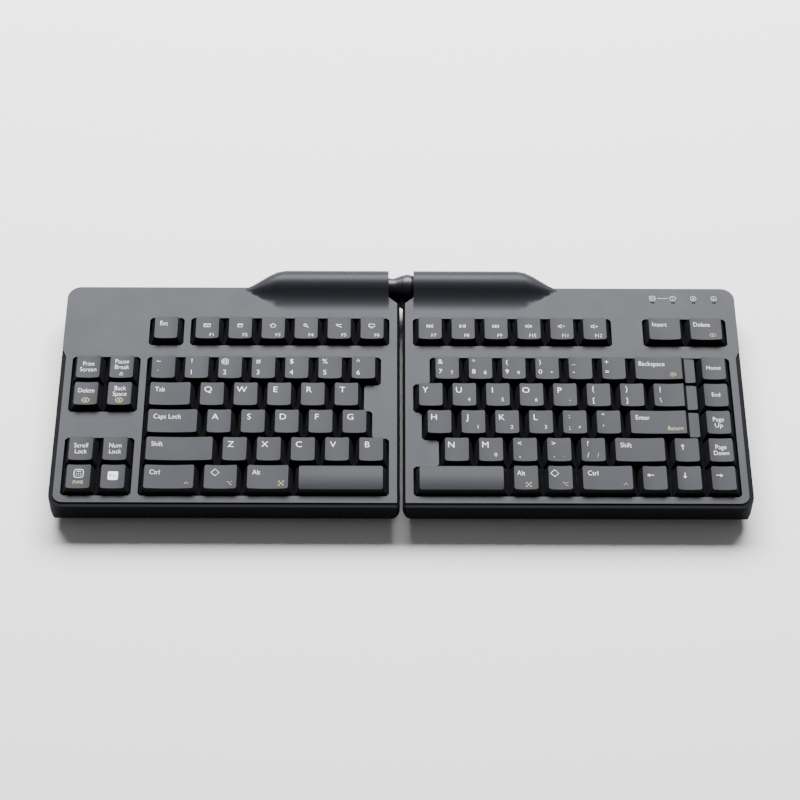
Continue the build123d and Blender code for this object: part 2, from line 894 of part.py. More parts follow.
def make_board(spots):
    """The board with its two chips, cut away round the screw posts that it passes."""
    x_low, y_low, x_high, y_high = board_span()
    board = block(x_low, y_low, floor_top + board_height, x_high, y_high, board_top())
    half = post_width / 2 + board_post_gap
    for x, y in spots:
        board -= prism(rectangle(x - half, y_low - overrun, x + half, y + half), floor_top, board_top() + overrun)
    y = (y_low + y_high - chip_size) / 2
    for x in (x_low + chip_size, x_low + 3 * chip_size):
        board += block(x, y, board_top(), x + chip_size, y + chip_size, board_top() + chip_height)
    return board


def board_posts(spots):
    """Posts of the base case that carry the board's ends; the outer one stands behind the screw post."""
    x_low, y_low, x_high, y_high = board_span()
    posts = block(x_low, y_low, floor_top, x_low + board_post_width, y_high, floor_top + board_height)
    behind = spots[0][1] + post_width / 2
    return posts + block(x_high - board_post_width, behind, floor_top, x_high, y_high, floor_top + board_height)


def gland_block(gap, y_low, y_high):
    """The gland's block through the rear wall."""
    wide = gland_width / 2 + gap
    high = gland_height / 2 + gap
    return block(gland_x - wide, y_low, gland_z - high, gland_x + wide, y_high, gland_z + high)


def make_gland():
    """Rubber gland with an inner flange and the cable's bore."""
    inside = case_rear - wall
    gland = gland_block(0, inside, case_rear + gland_proud)
    gland += gland_block(gland_flange_rim, inside - gland_flange, inside)
    section = Plane(origin=(gland_x, inside - overrun, gland_z), x_dir=(1, 0, 0), z_dir=(0, 1, 0))
    round_hole = section * RegularPolygon(gland_bore_radius, small_sides)
    return gland - extrude(round_hole, amount=wall + 2 * overrun)


# Writing the nodes

feet = feet_places()
for side in ("left", "right"):
    keys = make_keys(side)
    spots = [(block_inset + out * pitch, row_y(row)) for out, row in screw_shares[side]]
    cover = make_cover(side, spots)
    case = make_case(side, spots, feet)
    if side == "left":
        bed = mirror(stud_bar(joint_clearance), about=Plane.YZ)
        cover -= bed
        case -= joint_rod(neck_root_radius - slit_half / 2, 0, notch_half + sleeve_length)
        case += mirror(joint_axis(neck_profile()), about=Plane.YZ)
        case -= bed
    else:
        case -= lever_pocket()
        cover -= lever_pocket()
        low, high = lever_pin_span()
        case -= prism(lever_pin_face(0), low, high)
        cover -= prism(lever_pin_face(0), low, high)
        write("lever_pin", [prism(lever_pin_face(0), low, high)])
        write("lock_lever", [make_lever()])
        case -= joint_rod(collar_waist_radius - slit_half / 2, 0, notch_half + sleeve_length)
        case += joint_axis(collar_profile())
        case += board_posts(spots)
        case -= gland_block(gland_clearance, case_rear - wall - overrun, case_rear + overrun)
        write("controller_board", [make_board(spots[:1])])
        write("cable_gland", [make_gland()])
    backplate, membrane, sheet, frame = make_stack(side, keys, spots)
    screw_head = [
        prism(Pos(x, y) * RegularPolygon(screw_head_radius, 6), screw_seat() - screw_head_height, screw_seat())
        + prism(small_round(x, y, screw_radius), screw_seat(), screw_tip())
        for x, y in spots
    ]
    pads = [prism(foot_face(x, y, 0), 0, case_bottom + foot_recess) for x, y in feet]
    for name, solids in (
        ("top_cover", [cover]),
        ("base_case", [case]),
        ("backplate", [backplate]),
        ("membrane", [membrane]),
        ("dome_sheet", [sheet]),
        ("key_frame", [frame]),
        ("screws", screw_head),
        ("feet", pads),
    ):
        write(f"{side}_{name}", [place(item, side) for item in solids])

write("ball_stud", [make_ball_stud()])
write("socket_liner", [make_liner()])
lights = [prism(light_face(n, 0), board_top(), plate_top) for n in range(light_count)]
write("status_lights", lights)
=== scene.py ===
"""Looks of a split ergonomic keyboard: moulded housings, keycaps with their legends, and a plain studio."""

import json
import logging
import math
from collections.abc import Callable, Iterable
from dataclasses import dataclass, field
from enum import Enum

import bmesh
import bpy
from mathutils import Matrix, Vector

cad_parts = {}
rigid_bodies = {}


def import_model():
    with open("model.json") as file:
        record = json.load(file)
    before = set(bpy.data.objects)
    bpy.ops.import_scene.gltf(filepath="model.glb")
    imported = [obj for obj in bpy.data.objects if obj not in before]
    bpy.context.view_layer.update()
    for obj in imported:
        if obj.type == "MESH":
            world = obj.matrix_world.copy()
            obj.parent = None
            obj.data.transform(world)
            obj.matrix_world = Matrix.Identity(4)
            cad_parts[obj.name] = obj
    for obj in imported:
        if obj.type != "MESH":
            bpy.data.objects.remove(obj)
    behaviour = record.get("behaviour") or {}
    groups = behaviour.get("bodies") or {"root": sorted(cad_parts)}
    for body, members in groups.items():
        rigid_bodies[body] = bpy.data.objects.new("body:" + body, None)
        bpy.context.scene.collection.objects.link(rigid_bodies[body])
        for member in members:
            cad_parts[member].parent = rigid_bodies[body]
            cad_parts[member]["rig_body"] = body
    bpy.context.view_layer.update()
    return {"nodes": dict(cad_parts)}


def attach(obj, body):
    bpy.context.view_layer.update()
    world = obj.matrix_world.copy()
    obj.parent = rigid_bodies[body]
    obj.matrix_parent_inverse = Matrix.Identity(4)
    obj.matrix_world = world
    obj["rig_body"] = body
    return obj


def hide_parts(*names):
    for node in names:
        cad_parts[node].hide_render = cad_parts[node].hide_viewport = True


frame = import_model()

MM = 0.001
MERGE = 0.001 * MM
IMAGE_SIDE = 800
LOG = logging.getLogger("keyboard")
Box = tuple[Vector, Vector]


class Form(Enum):
    """How the top of a keycap is shaped."""

    DISHED = "dished"
    STEPPED = "stepped"
    BAR = "bar"


class Ink(Enum):
    """Printing colours of the legends."""

    WHITE = 0
    GOLD = 1
    DARK = 2


class Spot(Enum):
    """Where a legend stands on a keycap's top, as offsets from its middle or an end, and its size, in mm."""

    LETTER_LEFT = (-2.3, 2.9, 4.5)
    LETTER_RIGHT = (-3.1, 2.9, 4.5)
    UPPER = (-3.0, 4.0, 3.7)
    LOWER = (-3.0, -3.9, 3.7)
    SMALL = (2.6, -3.7, 2.8)
    CORNER = (2.8, -5.4, 2.6)
    CORNER_RIGHT = (2.0, -5.4, 2.6)
    WORD = (-3.9, 2.9, 3.4)
    WORD_RIGHT = (-4.9, 2.9, 3.4)
    UPPER_RIGHT = (-3.9, 4.0, 3.7)
    LOWER_RIGHT = (-3.9, -3.0, 3.7)
    ONE_LINE = (0.0, 0.2, 3.1)
    TOP_LINE = (0.0, 1.9, 3.25)
    LOW_LINE = (0.0, -2.2, 3.25)
    HIGH_TOP_LINE = (0.0, 3.6, 3.25)
    HIGH_LOW_LINE = (0.0, -0.4, 3.25)
    ARROW = (-2.2, 1.8, 4.5)
    ICON = (-0.2, 1.5, 3.6)
    MIDDLE = (0.0, 0.6, 4.2)
    UNDER = (0.0, -4.0, 2.5)
    LATCH = (0.0, -5.1, 2.8)
    BADGE_TEXT = (0.0, 0.4, 3.6)
    SIGN = (0.0, 2.0, 5.2)
    ERASE = (0.0, -4.7, 4.0)
    MARK_RIGHT = (-5.2, -4.6, 3.3)
    PLAIN = (0.0, 0.0, 3.3)
    MARK = (-3.9, -4.3, 3.3)
    GOLD_WORD = (-6.2, -4.4, 2.9)


# Finishes


@dataclass(frozen=True)
class Finish:
    """A procedural finish whose grain, tint and sheen follow the piece's own coordinates."""

    name: str
    colour: tuple[float, float, float]
    roughness: float
    metallic: float = 0.0
    grain_size: float = 0.35 * MM
    grain_depth: float = 0.02 * MM
    mottle_size: float = 18.0 * MM
    mottle: float = 0.06
    gloss_swing: float = 0.06
    stretch: tuple[float, float, float] = (1.0, 1.0, 1.0)
    specular: float = 0.5
    sheen_tint: tuple[float, float, float] = (0.9, 0.93, 1.0)

    def build(self) -> bpy.types.Material:
        """Makes the node material.

        Returns:
            The new material.
        """
        material = bpy.data.materials.new(self.name)
        material.use_nodes = True
        nodes = material.node_tree.nodes
        links = material.node_tree.links
        shader = nodes["Principled BSDF"]
        shader.inputs["Metallic"].default_value = self.metallic
        shader.inputs["Specular IOR Level"].default_value = self.specular
        shader.inputs["Specular Tint"].default_value = (*self.sheen_tint, 1.0)
        place = nodes.new("ShaderNodeTexCoord")
        mapping = nodes.new("ShaderNodeMapping")
        mapping.inputs["Scale"].default_value = self.stretch
        links.new(place.outputs["Object"], mapping.inputs["Vector"])
        mottle = self._noise(material, mapping, 1 / self.mottle_size, 3.0)
        grain = self._noise(material, mapping, 1 / self.grain_size, 2.0)
        tint = nodes.new("ShaderNodeMix")
        tint.data_type = "RGBA"
        tint.inputs["A"].default_value = self._shade(1 - self.mottle)
        tint.inputs["B"].default_value = self._shade(1 + self.mottle)
        blend = nodes.new("ShaderNodeMix")
        blend.inputs["Factor"].default_value = 0.4
        links.new(mottle.outputs["Fac"], blend.inputs["A"])
        links.new(grain.outputs["Fac"], blend.inputs["B"])
        links.new(blend.outputs["Result"], tint.inputs["Factor"])
        links.new(tint.outputs["Result"], shader.inputs["Base Color"])
        gloss = nodes.new("ShaderNodeMapRange")
        gloss.inputs["To Min"].default_value = self.roughness - self.gloss_swing
        gloss.inputs["To Max"].default_value = self.roughness + self.gloss_swing
        links.new(blend.outputs["Result"], gloss.inputs["Value"])
        links.new(gloss.outputs["Result"], shader.inputs["Roughness"])
        bump = nodes.new("ShaderNodeBump")
        bump.inputs["Distance"].default_value = self.grain_depth
        bump.inputs["Strength"].default_value = 0.6
        links.new(grain.outputs["Fac"], bump.inputs["Height"])
        links.new(bump.outputs["Normal"], shader.inputs["Normal"])
        return material

    def _shade(self, share: float) -> tuple[float, float, float, float]:
        """The finish's colour, lightened or darkened."""
        return (*(min(1.0, channel * share) for channel in self.colour), 1.0)

    def _noise(
        self, material: bpy.types.Material, mapping: bpy.types.Node, scale: float, detail: float
    ) -> bpy.types.Node:
        """Adds one noise pattern.

        Args:
            material: The material that gets it.
            mapping: The node that gives its coordinates.
            scale: Cells a metre.
            detail: Octaves of finer noise.

        Returns:
            The noise node.
        """
        noise = material.node_tree.nodes.new("ShaderNodeTexNoise")
        noise.inputs["Scale"].default_value = scale
        noise.inputs["Detail"].default_value = detail
        material.node_tree.links.new(mapping.outputs["Vector"], noise.inputs["Vector"])
        return noise


@dataclass
class Palette:
    """Every finish of the keyboard, each made once."""

    cover: Finish = Finish("cover_charcoal_abs", (0.012, 0.0125, 0.016), 0.46, mottle=0.04, specular=0.21)
    key_top: Finish = Finish(
        "key_top_charcoal_abs", (0.012, 0.0125, 0.0155), 0.5, grain_size=0.3 * MM, specular=0.19
    )
    # Key sides: the caps' own charcoal plastic painted darker than the tops, as painted shade on faces turned
    # from the light.
    key_side_shade: Finish = Finish("key_side_painted_shade_abs", (0.005, 0.005, 0.006), 0.6, specular=0.2)
    # Upward faces of the case rim: the case's black plastic a little lighter, as painted light.
    rim_top_lit: Finish = Finish("case_rim_painted_light_abs", (0.005, 0.005, 0.006), 0.55, specular=0.04)
    # Walls of the base case: the same black plastic darker, as painted shade.
    case: Finish = Finish("case_wall_painted_shade_abs", (0.003, 0.003, 0.004), 0.6, specular=0.05)
    # Rims along the slit between the halves, and the notch ledges: darkest, dullest black, as painted shade.
    shade_black: Finish = Finish("painted_shade_black_abs", (0.002, 0.002, 0.002), 0.7, specular=0.02)
    hinge: Finish = Finish("hinge_black_abs", (0.006, 0.006, 0.007), 0.36, grain_depth=0.01 * MM)
    floor_frame: Finish = Finish("key_frame_black_abs", (0.004, 0.004, 0.004), 0.7, specular=0.2)
    rubber: Finish = Finish(
        "foot_rubber", (0.015, 0.015, 0.015), 0.85, grain_size=0.6 * MM, grain_depth=0.05 * MM
    )
    steel: Finish = Finish(
        "drawn_steel", (0.55, 0.56, 0.58), 0.32, metallic=1.0, stretch=(0.08, 1.0, 1.0), grain_size=0.2 * MM
    )
    film: Finish = Finish("printed_film", (0.5, 0.56, 0.52), 0.35, mottle=0.12)
    silicone: Finish = Finish("dome_silicone", (0.7, 0.7, 0.66), 0.6, mottle=0.08)
    nylon: Finish = Finish("liner_nylon", (0.62, 0.61, 0.56), 0.45, mottle=0.06)
    lens: Finish = Finish("smoked_light_guide", (0.004, 0.004, 0.005), 0.5, specular=0.06)
    board: Finish = Finish("circuit_board", (0.02, 0.14, 0.06), 0.35, mottle=0.2, mottle_size=4 * MM)
    white_ink: Finish = Finish("white_legend_ink", (0.86, 0.86, 0.86), 0.5, mottle=0.03, mottle_size=1.5 * MM)
    gold_ink: Finish = Finish("gold_legend_ink", (0.62, 0.47, 0.22), 0.5, mottle=0.05, mottle_size=1.5 * MM)
    dark_ink: Finish = Finish("dark_legend_ink", (0.02, 0.02, 0.022), 0.5, mottle=0.05, mottle_size=1.5 * MM)
    made: dict[str, bpy.types.Material] = field(default_factory=dict)

    def get(self, finish: Finish) -> bpy.types.Material:
        """The material of a finish, made when it is first asked for."""
        if finish.name not in self.made:
            self.made[finish.name] = finish.build()
        return self.made[finish.name]

    def dress(self, piece: bpy.types.Object, *finishes: Finish) -> None:
        """Gives a piece its finishes, in slot order.

        Args:
            piece: The object to dress.
            finishes: One finish for each material slot.
        """
        piece.data.materials.clear()
        for finish in finishes:
            piece.data.materials.append(self.get(finish))


# Working on meshes


class Bench:
    """Selection and edit-mode steps that the pieces share."""

    @staticmethod
    def clear() -> None:
        """Leaves edit mode and deselects everything."""
        if bpy.context.object and bpy.context.object.mode != "OBJECT":
            bpy.ops.object.mode_set(mode="OBJECT")
        bpy.ops.object.select_all(action="DESELECT")

    @staticmethod
    def take(piece: bpy.types.Object) -> None:
        """Makes a piece the only selected and the active object."""
        Bench.clear()
        piece.select_set(True)
        bpy.context.view_layer.objects.active = piece

    @staticmethod
    def edit(piece: bpy.types.Object) -> None:
        """Opens a piece in edit mode with all of it selected."""
        Bench.take(piece)
        bpy.ops.object.mode_set(mode="EDIT")
        bpy.ops.mesh.select_all(action="SELECT")

    @staticmethod
    def pick_verts(piece: bpy.types.Object, test: Callable[[Vector], bool]) -> None:
        """Selects the vertices that pass a test, and no others.

        Args:
            piece: The object in edit mode.
            test: Says whether a vertex at a place is wanted.
        """
        bpy.ops.mesh.select_mode(type="VERT")
        mesh = bmesh.from_edit_mesh(piece.data)
        for vert in mesh.verts:
            vert.select = test(vert.co)
        mesh.select_flush_mode()
        bmesh.update_edit_mesh(piece.data)

    @staticmethod
    def pick_edges(piece: bpy.types.Object, test: Callable[[bmesh.types.BMEdge], bool]) -> None:
        """Selects the edges that pass a test, and no others.

        Args:
            piece: The object in edit mode.
            test: Says whether an edge is wanted.
        """
        bpy.ops.mesh.select_mode(type="EDGE")
        mesh = bmesh.from_edit_mesh(piece.data)
        for edge in mesh.edges:
            edge.select = test(edge)
        mesh.select_flush_mode()
        bmesh.update_edit_mesh(piece.data)

    @staticmethod
    def pick_faces(piece: bpy.types.Object, test: Callable[[bmesh.types.BMFace], bool]) -> None:
        """Selects the faces that pass a test, and no others.

        Args:
            piece: The object in edit mode.
            test: Says whether a face is wanted.
        """
        bpy.ops.mesh.select_mode(type="FACE")
        mesh = bmesh.from_edit_mesh(piece.data)
        for face in mesh.faces:
            face.select = test(face)
        mesh.select_flush_mode()
        bmesh.update_edit_mesh(piece.data)

    @staticmethod
    def bevel(piece: bpy.types.Object, width: float, segments: int, angle: float = 0.0) -> None:
        """Rounds a piece's edges with an applied modifier.

        Args:
            piece: The object to round.
            width: Width of the round.
            segments: Facets across it.
            angle: Least angle, in degrees, of an edge that is rounded, or nothing for marked edges.
        """
        Bench.take(piece)
        rounding = piece.modifiers.new("rounding", "BEVEL")
        rounding.width = width
        rounding.segments = segments
        rounding.limit_method = "ANGLE" if angle else "WEIGHT"
        rounding.angle_limit = math.radians(angle)
        rounding.harden_normals = False
        bpy.ops.object.modifier_apply(modifier=rounding.name)

    @staticmethod
    def weigh_edges(piece: bpy.types.Object, angle: float, weight: Callable[[Vector], float]) -> None:
        """Marks how strongly each sharp edge is rounded.

        Args:
            piece: The object to mark.
            angle: Least angle, in degrees, of an edge that is rounded.
            weight: Gives the share of the full round at a place.
        """
        limit = math.radians(angle)
        mesh = bmesh.new()
        mesh.from_mesh(piece.data)
        layer = mesh.edges.layers.float.new("bevel_weight_edge")
        for edge in mesh.edges:
            if edge.calc_face_angle(0.0) > limit:
                edge[layer] = weight((edge.verts[0].co + edge.verts[1].co) / 2)
        mesh.to_mesh(piece.data)
        mesh.free()

    @staticmethod
    def smooth(piece: bpy.types.Object, angle: float) -> None:
        """Shades a piece smooth up to an angle in degrees, and keeps its large faces level."""
        Bench.take(piece)
        bpy.ops.object.shade_smooth_by_angle(angle=math.radians(angle))
        level = piece.modifiers.new("level_normals", "WEIGHTED_NORMAL")
        level.keep_sharp = True
        bpy.ops.object.modifier_apply(modifier=level.name)

    @staticmethod
    def copy(master: bpy.types.Object, name: str, offset: Vector) -> bpy.types.Object:
        """Copies a finished master with its own mesh, moved in its mesh.

        Args:
            master: The object to copy.
            name: The copy's name.
            offset: Where the copy goes, from the master.

        Returns:
            The copy.
        """
        mesh = master.data.copy()
        mesh.transform(Matrix.Translation(offset))
        piece = bpy.data.objects.new(name, mesh)
        bpy.context.scene.collection.objects.link(piece)
        return piece

    @staticmethod
    def join(pieces: list[bpy.types.Object], name: str) -> bpy.types.Object:
        """Joins pieces into one object.

        Args:
            pieces: The objects to join.
            name: The joined object's name.

        Returns:
            The joined object.
        """
        Bench.take(pieces[0])
        for piece in pieces:
            piece.select_set(True)
        if len(pieces) > 1:
            bpy.ops.object.join()
        joined = bpy.context.view_layer.objects.active
        joined.name = name
        joined.data.name = name
        return joined


def loose_boxes(node: str) -> list[Box]:
    """Boxes of the separate solids of a CAD node, row by row from the front and then from the left.

    Args:
        node: The node's name.

    Returns:
        Lowest and highest corner of each solid.
    """
    mesh = bmesh.new()
    mesh.from_mesh(frame["nodes"][node].data)
    bmesh.ops.remove_doubles(mesh, verts=mesh.verts, dist=MERGE)
    left = set(mesh.verts)
    boxes = []
    while left:
        seed = left.pop()
        island, queue = [seed], [seed]
        while queue:
            for edge in queue.pop().link_edges:
                for vert in edge.verts:
                    if vert in left:
                        left.remove(vert)
                        island.append(vert)
                        queue.append(vert)
        corners = [[f(v.co[i] for v in island) for i in range(3)] for f in (min, max)]
        boxes.append((Vector(corners[0]), Vector(corners[1])))
    mesh.free()
    return sorted(boxes, key=lambda box: (round(box[0].y / MM), box[0].x))


# Keycaps


@dataclass
class Keycap:
    """One keycap: a tapered hollow cap with a dished, stepped or crowned top."""

    width: float
    depth: float
    height: float = 6.7 * MM
    form: Form = Form.DISHED
    side_inset: float = 2.51 * MM
    front_inset: float = 1.27 * MM
    dish: float = 0.6 * MM
    crown: float = 0.8 * MM
    step_drop: float = 3.2 * MM
    step_width: float = 8.275 * MM
    step_lean: float = 2.0 * MM
    step_inset: float = 0.6 * MM
    corner: float = 1.1 * MM
    edge: float = 0.32 * MM
    wall: float = 1.2 * MM
    columns: int = 8
    top_lean: float = 0.62
    round_angle: float = 30.0
    smooth_angle: float = 40.0

    @property
    def left(self) -> float:
        """Left end of the raised top, from the cap's middle."""
        return -self.width / 2 + self.side_inset

    @property
    def right(self) -> float:
        """Right end of the raised top, from the cap's middle."""
        inset = self.step_width if self.form is Form.STEPPED else self.side_inset
        return self.width / 2 - inset

    def dip(self, x: float, y: float) -> float:
        """How far the top lies below its highest level.

        Args:
            x: Place across the cap, from its middle.
            y: Place along it, from its middle.

        Returns:
            The depth there.
        """
        if self.form is Form.BAR:
            share = y / (self.depth / 2 - self.front_inset)
            return self.crown * share * share
        share = (x - self.left) / (self.right - self.left)
        share = min(max(share, 0.0), 1.0)
        return self.dish * 4 * share * (1 - share)

    def build(self, palette: Palette) -> bpy.types.Object:
        """Models the cap about its own middle, with its top at z = 0.

        Args:
            palette: The finishes.

        Returns:
            The cap.
        """
        Bench.clear()
        bpy.ops.mesh.primitive_cube_add(size=1, location=(0, 0, -self.height / 2))
        cap = bpy.context.object
        cap.scale = (self.width, self.depth, self.height)
        bpy.ops.object.transform_apply(location=True, rotation=True, scale=True)
        self._taper(cap)
        self._round_corners(cap)
        self._shape_top(cap)
        self._hollow(cap)
        bpy.ops.object.mode_set(mode="OBJECT")
        Bench.bevel(cap, self.edge, 2, self.round_angle)
        Bench.smooth(cap, self.smooth_angle)
        palette.dress(cap, palette.key_top, palette.key_side_shade)
        # Faces that face up take the top finish; all others take the darker side copy, which is painted
        # shade.
        for polygon in cap.data.polygons:
            on_top = polygon.normal.z > self.top_lean and polygon.center.z > -self.step_drop - self.dish
            polygon.material_index = 0 if on_top else 1
        return cap

    def _taper(self, cap: bpy.types.Object) -> None:
        """Draws the top in to its own size."""
        Bench.edit(cap)
        Bench.pick_faces(cap, lambda face: face.normal.z > 0.5)
        top_width = self.width - 2 * self.side_inset
        top_depth = self.depth - 2 * self.front_inset
        bpy.ops.transform.resize(value=(top_width / self.width, top_depth / self.depth, 1))

    def _round_corners(self, cap: bpy.types.Object) -> None:
        """Rounds the four leaning corner edges."""
        Bench.pick_edges(cap, lambda edge: abs(edge.verts[0].co.z - edge.verts[1].co.z) > self.height / 2)
        bpy.ops.mesh.bevel(offset=self.corner, segments=3, affect="EDGES")

    def _cut(self, cap: bpy.types.Object, place: Vector, normal: Vector) -> None:
        """Adds a line of vertices round the cap, where a plane crosses it."""
        bpy.ops.mesh.select_all(action="SELECT")
        bpy.ops.mesh.bisect(plane_co=place, plane_no=normal)

    def _shape_top(self, cap: bpy.types.Object) -> None:
        """Sinks the dish, drops the step or crowns the bar, line by line."""
        across = self.form is not Form.BAR
        half_depth = self.depth / 2 - self.front_inset
        start = self.left if across else -half_depth
        end = self.right if across else half_depth
        normal = Vector((1, 0, 0)) if across else Vector((0, 1, 0))
        for n in range(1, self.columns):
            self._cut(cap, normal * (start + (end - start) * n / self.columns), normal)
        if self.form is Form.STEPPED:
            self._cut(cap, normal * self.right, normal)
            self._cut(cap, normal * (self.right + self.step_lean), normal)
            self._drop_step(cap)
        index = 0 if across else 1
        tiny = 0.01 * MM
        tops = {round(v.co[index] / tiny) for v in cap_verts(cap) if v.co.z > -tiny}
        for key in sorted(tops):
            line = key * tiny
            depth = self.dip(line, line)
            if depth > tiny:
                Bench.pick_verts(cap, lambda co, at=line: co.z > -tiny and abs(co[index] - at) < tiny)
                bpy.ops.transform.translate(value=(0, 0, -depth))

    def _drop_step(self, cap: bpy.types.Object) -> None:
        """Lowers the right end of the top to its shelf, and widens it to the skirt's taper there."""
        tiny = 0.01 * MM
        foot = self.right + self.step_lean - tiny
        Bench.pick_verts(cap, lambda co: co.z > -tiny and co.x > foot)
        bpy.ops.transform.translate(value=(0, 0, -self.step_drop))
        share = 1 - self.step_drop / self.height
        wide = (self.depth - 2 * self.front_inset * share) / (self.depth - 2 * self.front_inset)
        shift = (self.side_inset - self.step_inset) / 2
        bpy.ops.transform.resize(value=(1, wide, 1))
        end = self.width / 2 - self.side_inset - self.corner - tiny
        Bench.pick_verts(cap, lambda co: abs(co.z + self.step_drop) < tiny and co.x > end)
        bpy.ops.transform.translate(value=(2 * shift, 0, 0))

    def _hollow(self, cap: bpy.types.Object) -> None:
        """Opens the cap's underside and leaves a wall round it."""
        low = -self.height + 0.01 * MM
        Bench.pick_faces(cap, lambda face: face.calc_center_median().z < low)
        bpy.ops.mesh.dissolve_faces()
        Bench.pick_faces(cap, lambda face: face.calc_center_median().z < low)
        bpy.ops.mesh.inset(thickness=self.wall, depth=0)
        bpy.ops.transform.translate(value=(0, 0, self.height - 3 * self.wall))


def cap_verts(piece: bpy.types.Object) -> Iterable[bmesh.types.BMVert]:
    """The vertices of a piece in edit mode."""
    return bmesh.from_edit_mesh(piece.data).verts


# Legends


Stroke = list[tuple[float, float]]
Sign = tuple[str, Spot, Ink]


def rounded(wide: float, high: float, power: float = 2.0) -> Stroke:
    """A closed round outline about the middle, an ellipse or a square with round corners.

    Args:
        wide: Half its width.
        high: Half its height.
        power: Two for an ellipse, more for a squarer outline.

    Returns:
        The outline's points.
    """
    turns = [math.pi * step / 8 for step in range(17)]
    bend = 2 / power
    return [
        (
            wide * math.copysign(abs(math.cos(turn)) ** bend, math.cos(turn)),
            high * math.copysign(abs(math.sin(turn)) ** bend, math.sin(turn)),
        )
        for turn in turns
    ]


SPEAKER: Stroke = [
    (-0.9, -0.3), (-0.4, -0.3), (0.1, -0.7), (0.1, 0.7), (-0.4, 0.3), (-0.9, 0.3), (-0.9, -0.3)
]
ICONS: dict[str, list[Stroke]] = {
    "envelope": [
        [(-1, -0.6), (1, -0.6), (1, 0.6), (-1, 0.6), (-1, -0.6)],
        [(-1, 0.6), (0, -0.1), (1, 0.6)],
    ],
    "window": [
        [(-0.7, -0.6), (0.7, -0.6), (0.7, 0.6), (-0.7, 0.6), (-0.7, -0.6)],
        [(-0.7, 0.3), (0.7, 0.3)],
    ],
    "home": [[(-1, 0), (0, 0.8), (1, 0)], [(-0.6, 0), (-0.6, -0.7), (0.6, -0.7), (0.6, 0)]],
    "magnifier": [
        [(0.5 * math.cos(a * math.pi / 4) - 0.2, 0.5 * math.sin(a * math.pi / 4) + 0.2) for a in range(9)],
        [(0.15, -0.15), (0.8, -0.8)],
    ],
    "tool": [
        [(-0.9, 0.3), (-0.4, 0.7), (0, 0.3), (-0.4, -0.1), (-0.9, 0.3)],
        [(-0.1, 0), (0.8, -0.7)],
        [(0.1, 0.5), (0.9, 0.5)],
    ],
    "monitor": [
        [(-0.9, -0.4), (0.9, -0.4), (0.9, 0.7), (-0.9, 0.7), (-0.9, -0.4)],
        [(-0.4, -0.8), (0.4, -0.8)],
    ],
    "previous": [
        [(-0.9, -0.6), (-0.9, 0.6)],
        [(0, -0.6), (-0.7, 0), (0, 0.6), (0, -0.6)],
        [(0.9, -0.6), (0.2, 0), (0.9, 0.6), (0.9, -0.6)],
    ],
    "play": [
        [(-0.9, -0.6), (0, 0), (-0.9, 0.6), (-0.9, -0.6)],
        [(0.35, -0.6), (0.35, 0.6)],
        [(0.8, -0.6), (0.8, 0.6)],
    ],
    "next": [
        [(0.9, -0.6), (0.9, 0.6)],
        [(0, -0.6), (0.7, 0), (0, 0.6), (0, -0.6)],
        [(-0.9, -0.6), (-0.2, 0), (-0.9, 0.6), (-0.9, -0.6)],
    ],
    "mute": [
        SPEAKER,
        [(0.4, -0.4), (1, 0.4)],
        [(0.4, 0.4), (1, -0.4)],
    ],
    "quieter": [
        SPEAKER,
        [(0.5, 0), (1.1, 0)],
    ],
    "louder": [
        SPEAKER,
        [(0.5, 0), (1.1, 0)],
        [(0.8, -0.3), (0.8, 0.3)],
    ],
    "diamond": [[(0, -1), (1, 0), (0, 1), (-1, 0), (0, -1)]],
    "loops": [
        [(-0.75, 0.75), (0.75, -0.75)],
        [(-0.75, -0.75), (0.75, 0.75)],
        *[[(x * 0.35, y * 0.9), (x * 0.9, y * 0.9), (x * 0.9, y * 0.35)] for x in (-1, 1) for y in (-1, 1)],
    ],
    "slant": [[(-0.9, 0.6), (-0.3, 0.6), (0.3, -0.6), (0.9, -0.6)], [(0.3, 0.6), (0.9, 0.6)]],
    "caret": [[(-0.7, -0.4), (0, 0.4), (0.7, -0.4)]],
    "erase": [rounded(1.0, 0.75), [(-0.3, -0.25), (0.3, 0.25)], [(-0.3, 0.25), (0.3, -0.25)]],
    "padlock": [
        [(-0.6, -0.7), (0.6, -0.7), (0.6, 0.1), (-0.6, 0.1), (-0.6, -0.7)],
        [(-0.35, 0.1), (-0.35, 0.7), (0.35, 0.7), (0.35, 0.1)],
    ],
    "calculator": [
        rounded(1.0, 1.05, 4.0),
        [(-0.5, 0.55), (0.5, 0.55)],
        *[[(x - 0.08, y), (x + 0.08, y)] for x in (-0.45, 0.0, 0.45) for y in (0.0, -0.45)],
    ],
    "battery sign": [
        rounded(1.0, 1.0, 4.0),
        [(-0.5, -0.3), (0.4, -0.3), (0.4, 0.3), (-0.5, 0.3), (-0.5, -0.3)],
        [(0.55, -0.1), (0.55, 0.1)],
    ],
    "digit sign": [rounded(1.0, 1.0), [(-0.15, 0.3), (0.05, 0.5), (0.05, -0.5)]],
    "capital sign": [
        rounded(1.0, 1.0),
        [(-0.35, -0.45), (0, 0.5), (0.35, -0.45)],
        [(-0.2, -0.1), (0.2, -0.1)],
    ],
    "scroll sign": [rounded(1.0, 1.0), [(0, 0.5), (0, -0.5)], [(-0.35, -0.15), (0, -0.5), (0.35, -0.15)]],
    "dash": [[(-1.95, 0), (1.95, 0)]],
    "up": [[(0, -0.8), (0, 0.8)], [(-0.38, 0.3), (0, 0.8), (0.38, 0.3), (-0.38, 0.3)]],
    "down": [[(0, 0.8), (0, -0.8)], [(-0.38, -0.3), (0, -0.8), (0.38, -0.3), (-0.38, -0.3)]],
    "left": [[(0.8, 0), (-0.8, 0)], [(-0.3, -0.38), (-0.8, 0), (-0.3, 0.38), (-0.3, -0.38)]],
    "right": [[(-0.8, 0), (0.8, 0)], [(0.3, -0.38), (0.8, 0), (0.3, 0.38), (0.3, -0.38)]],
}
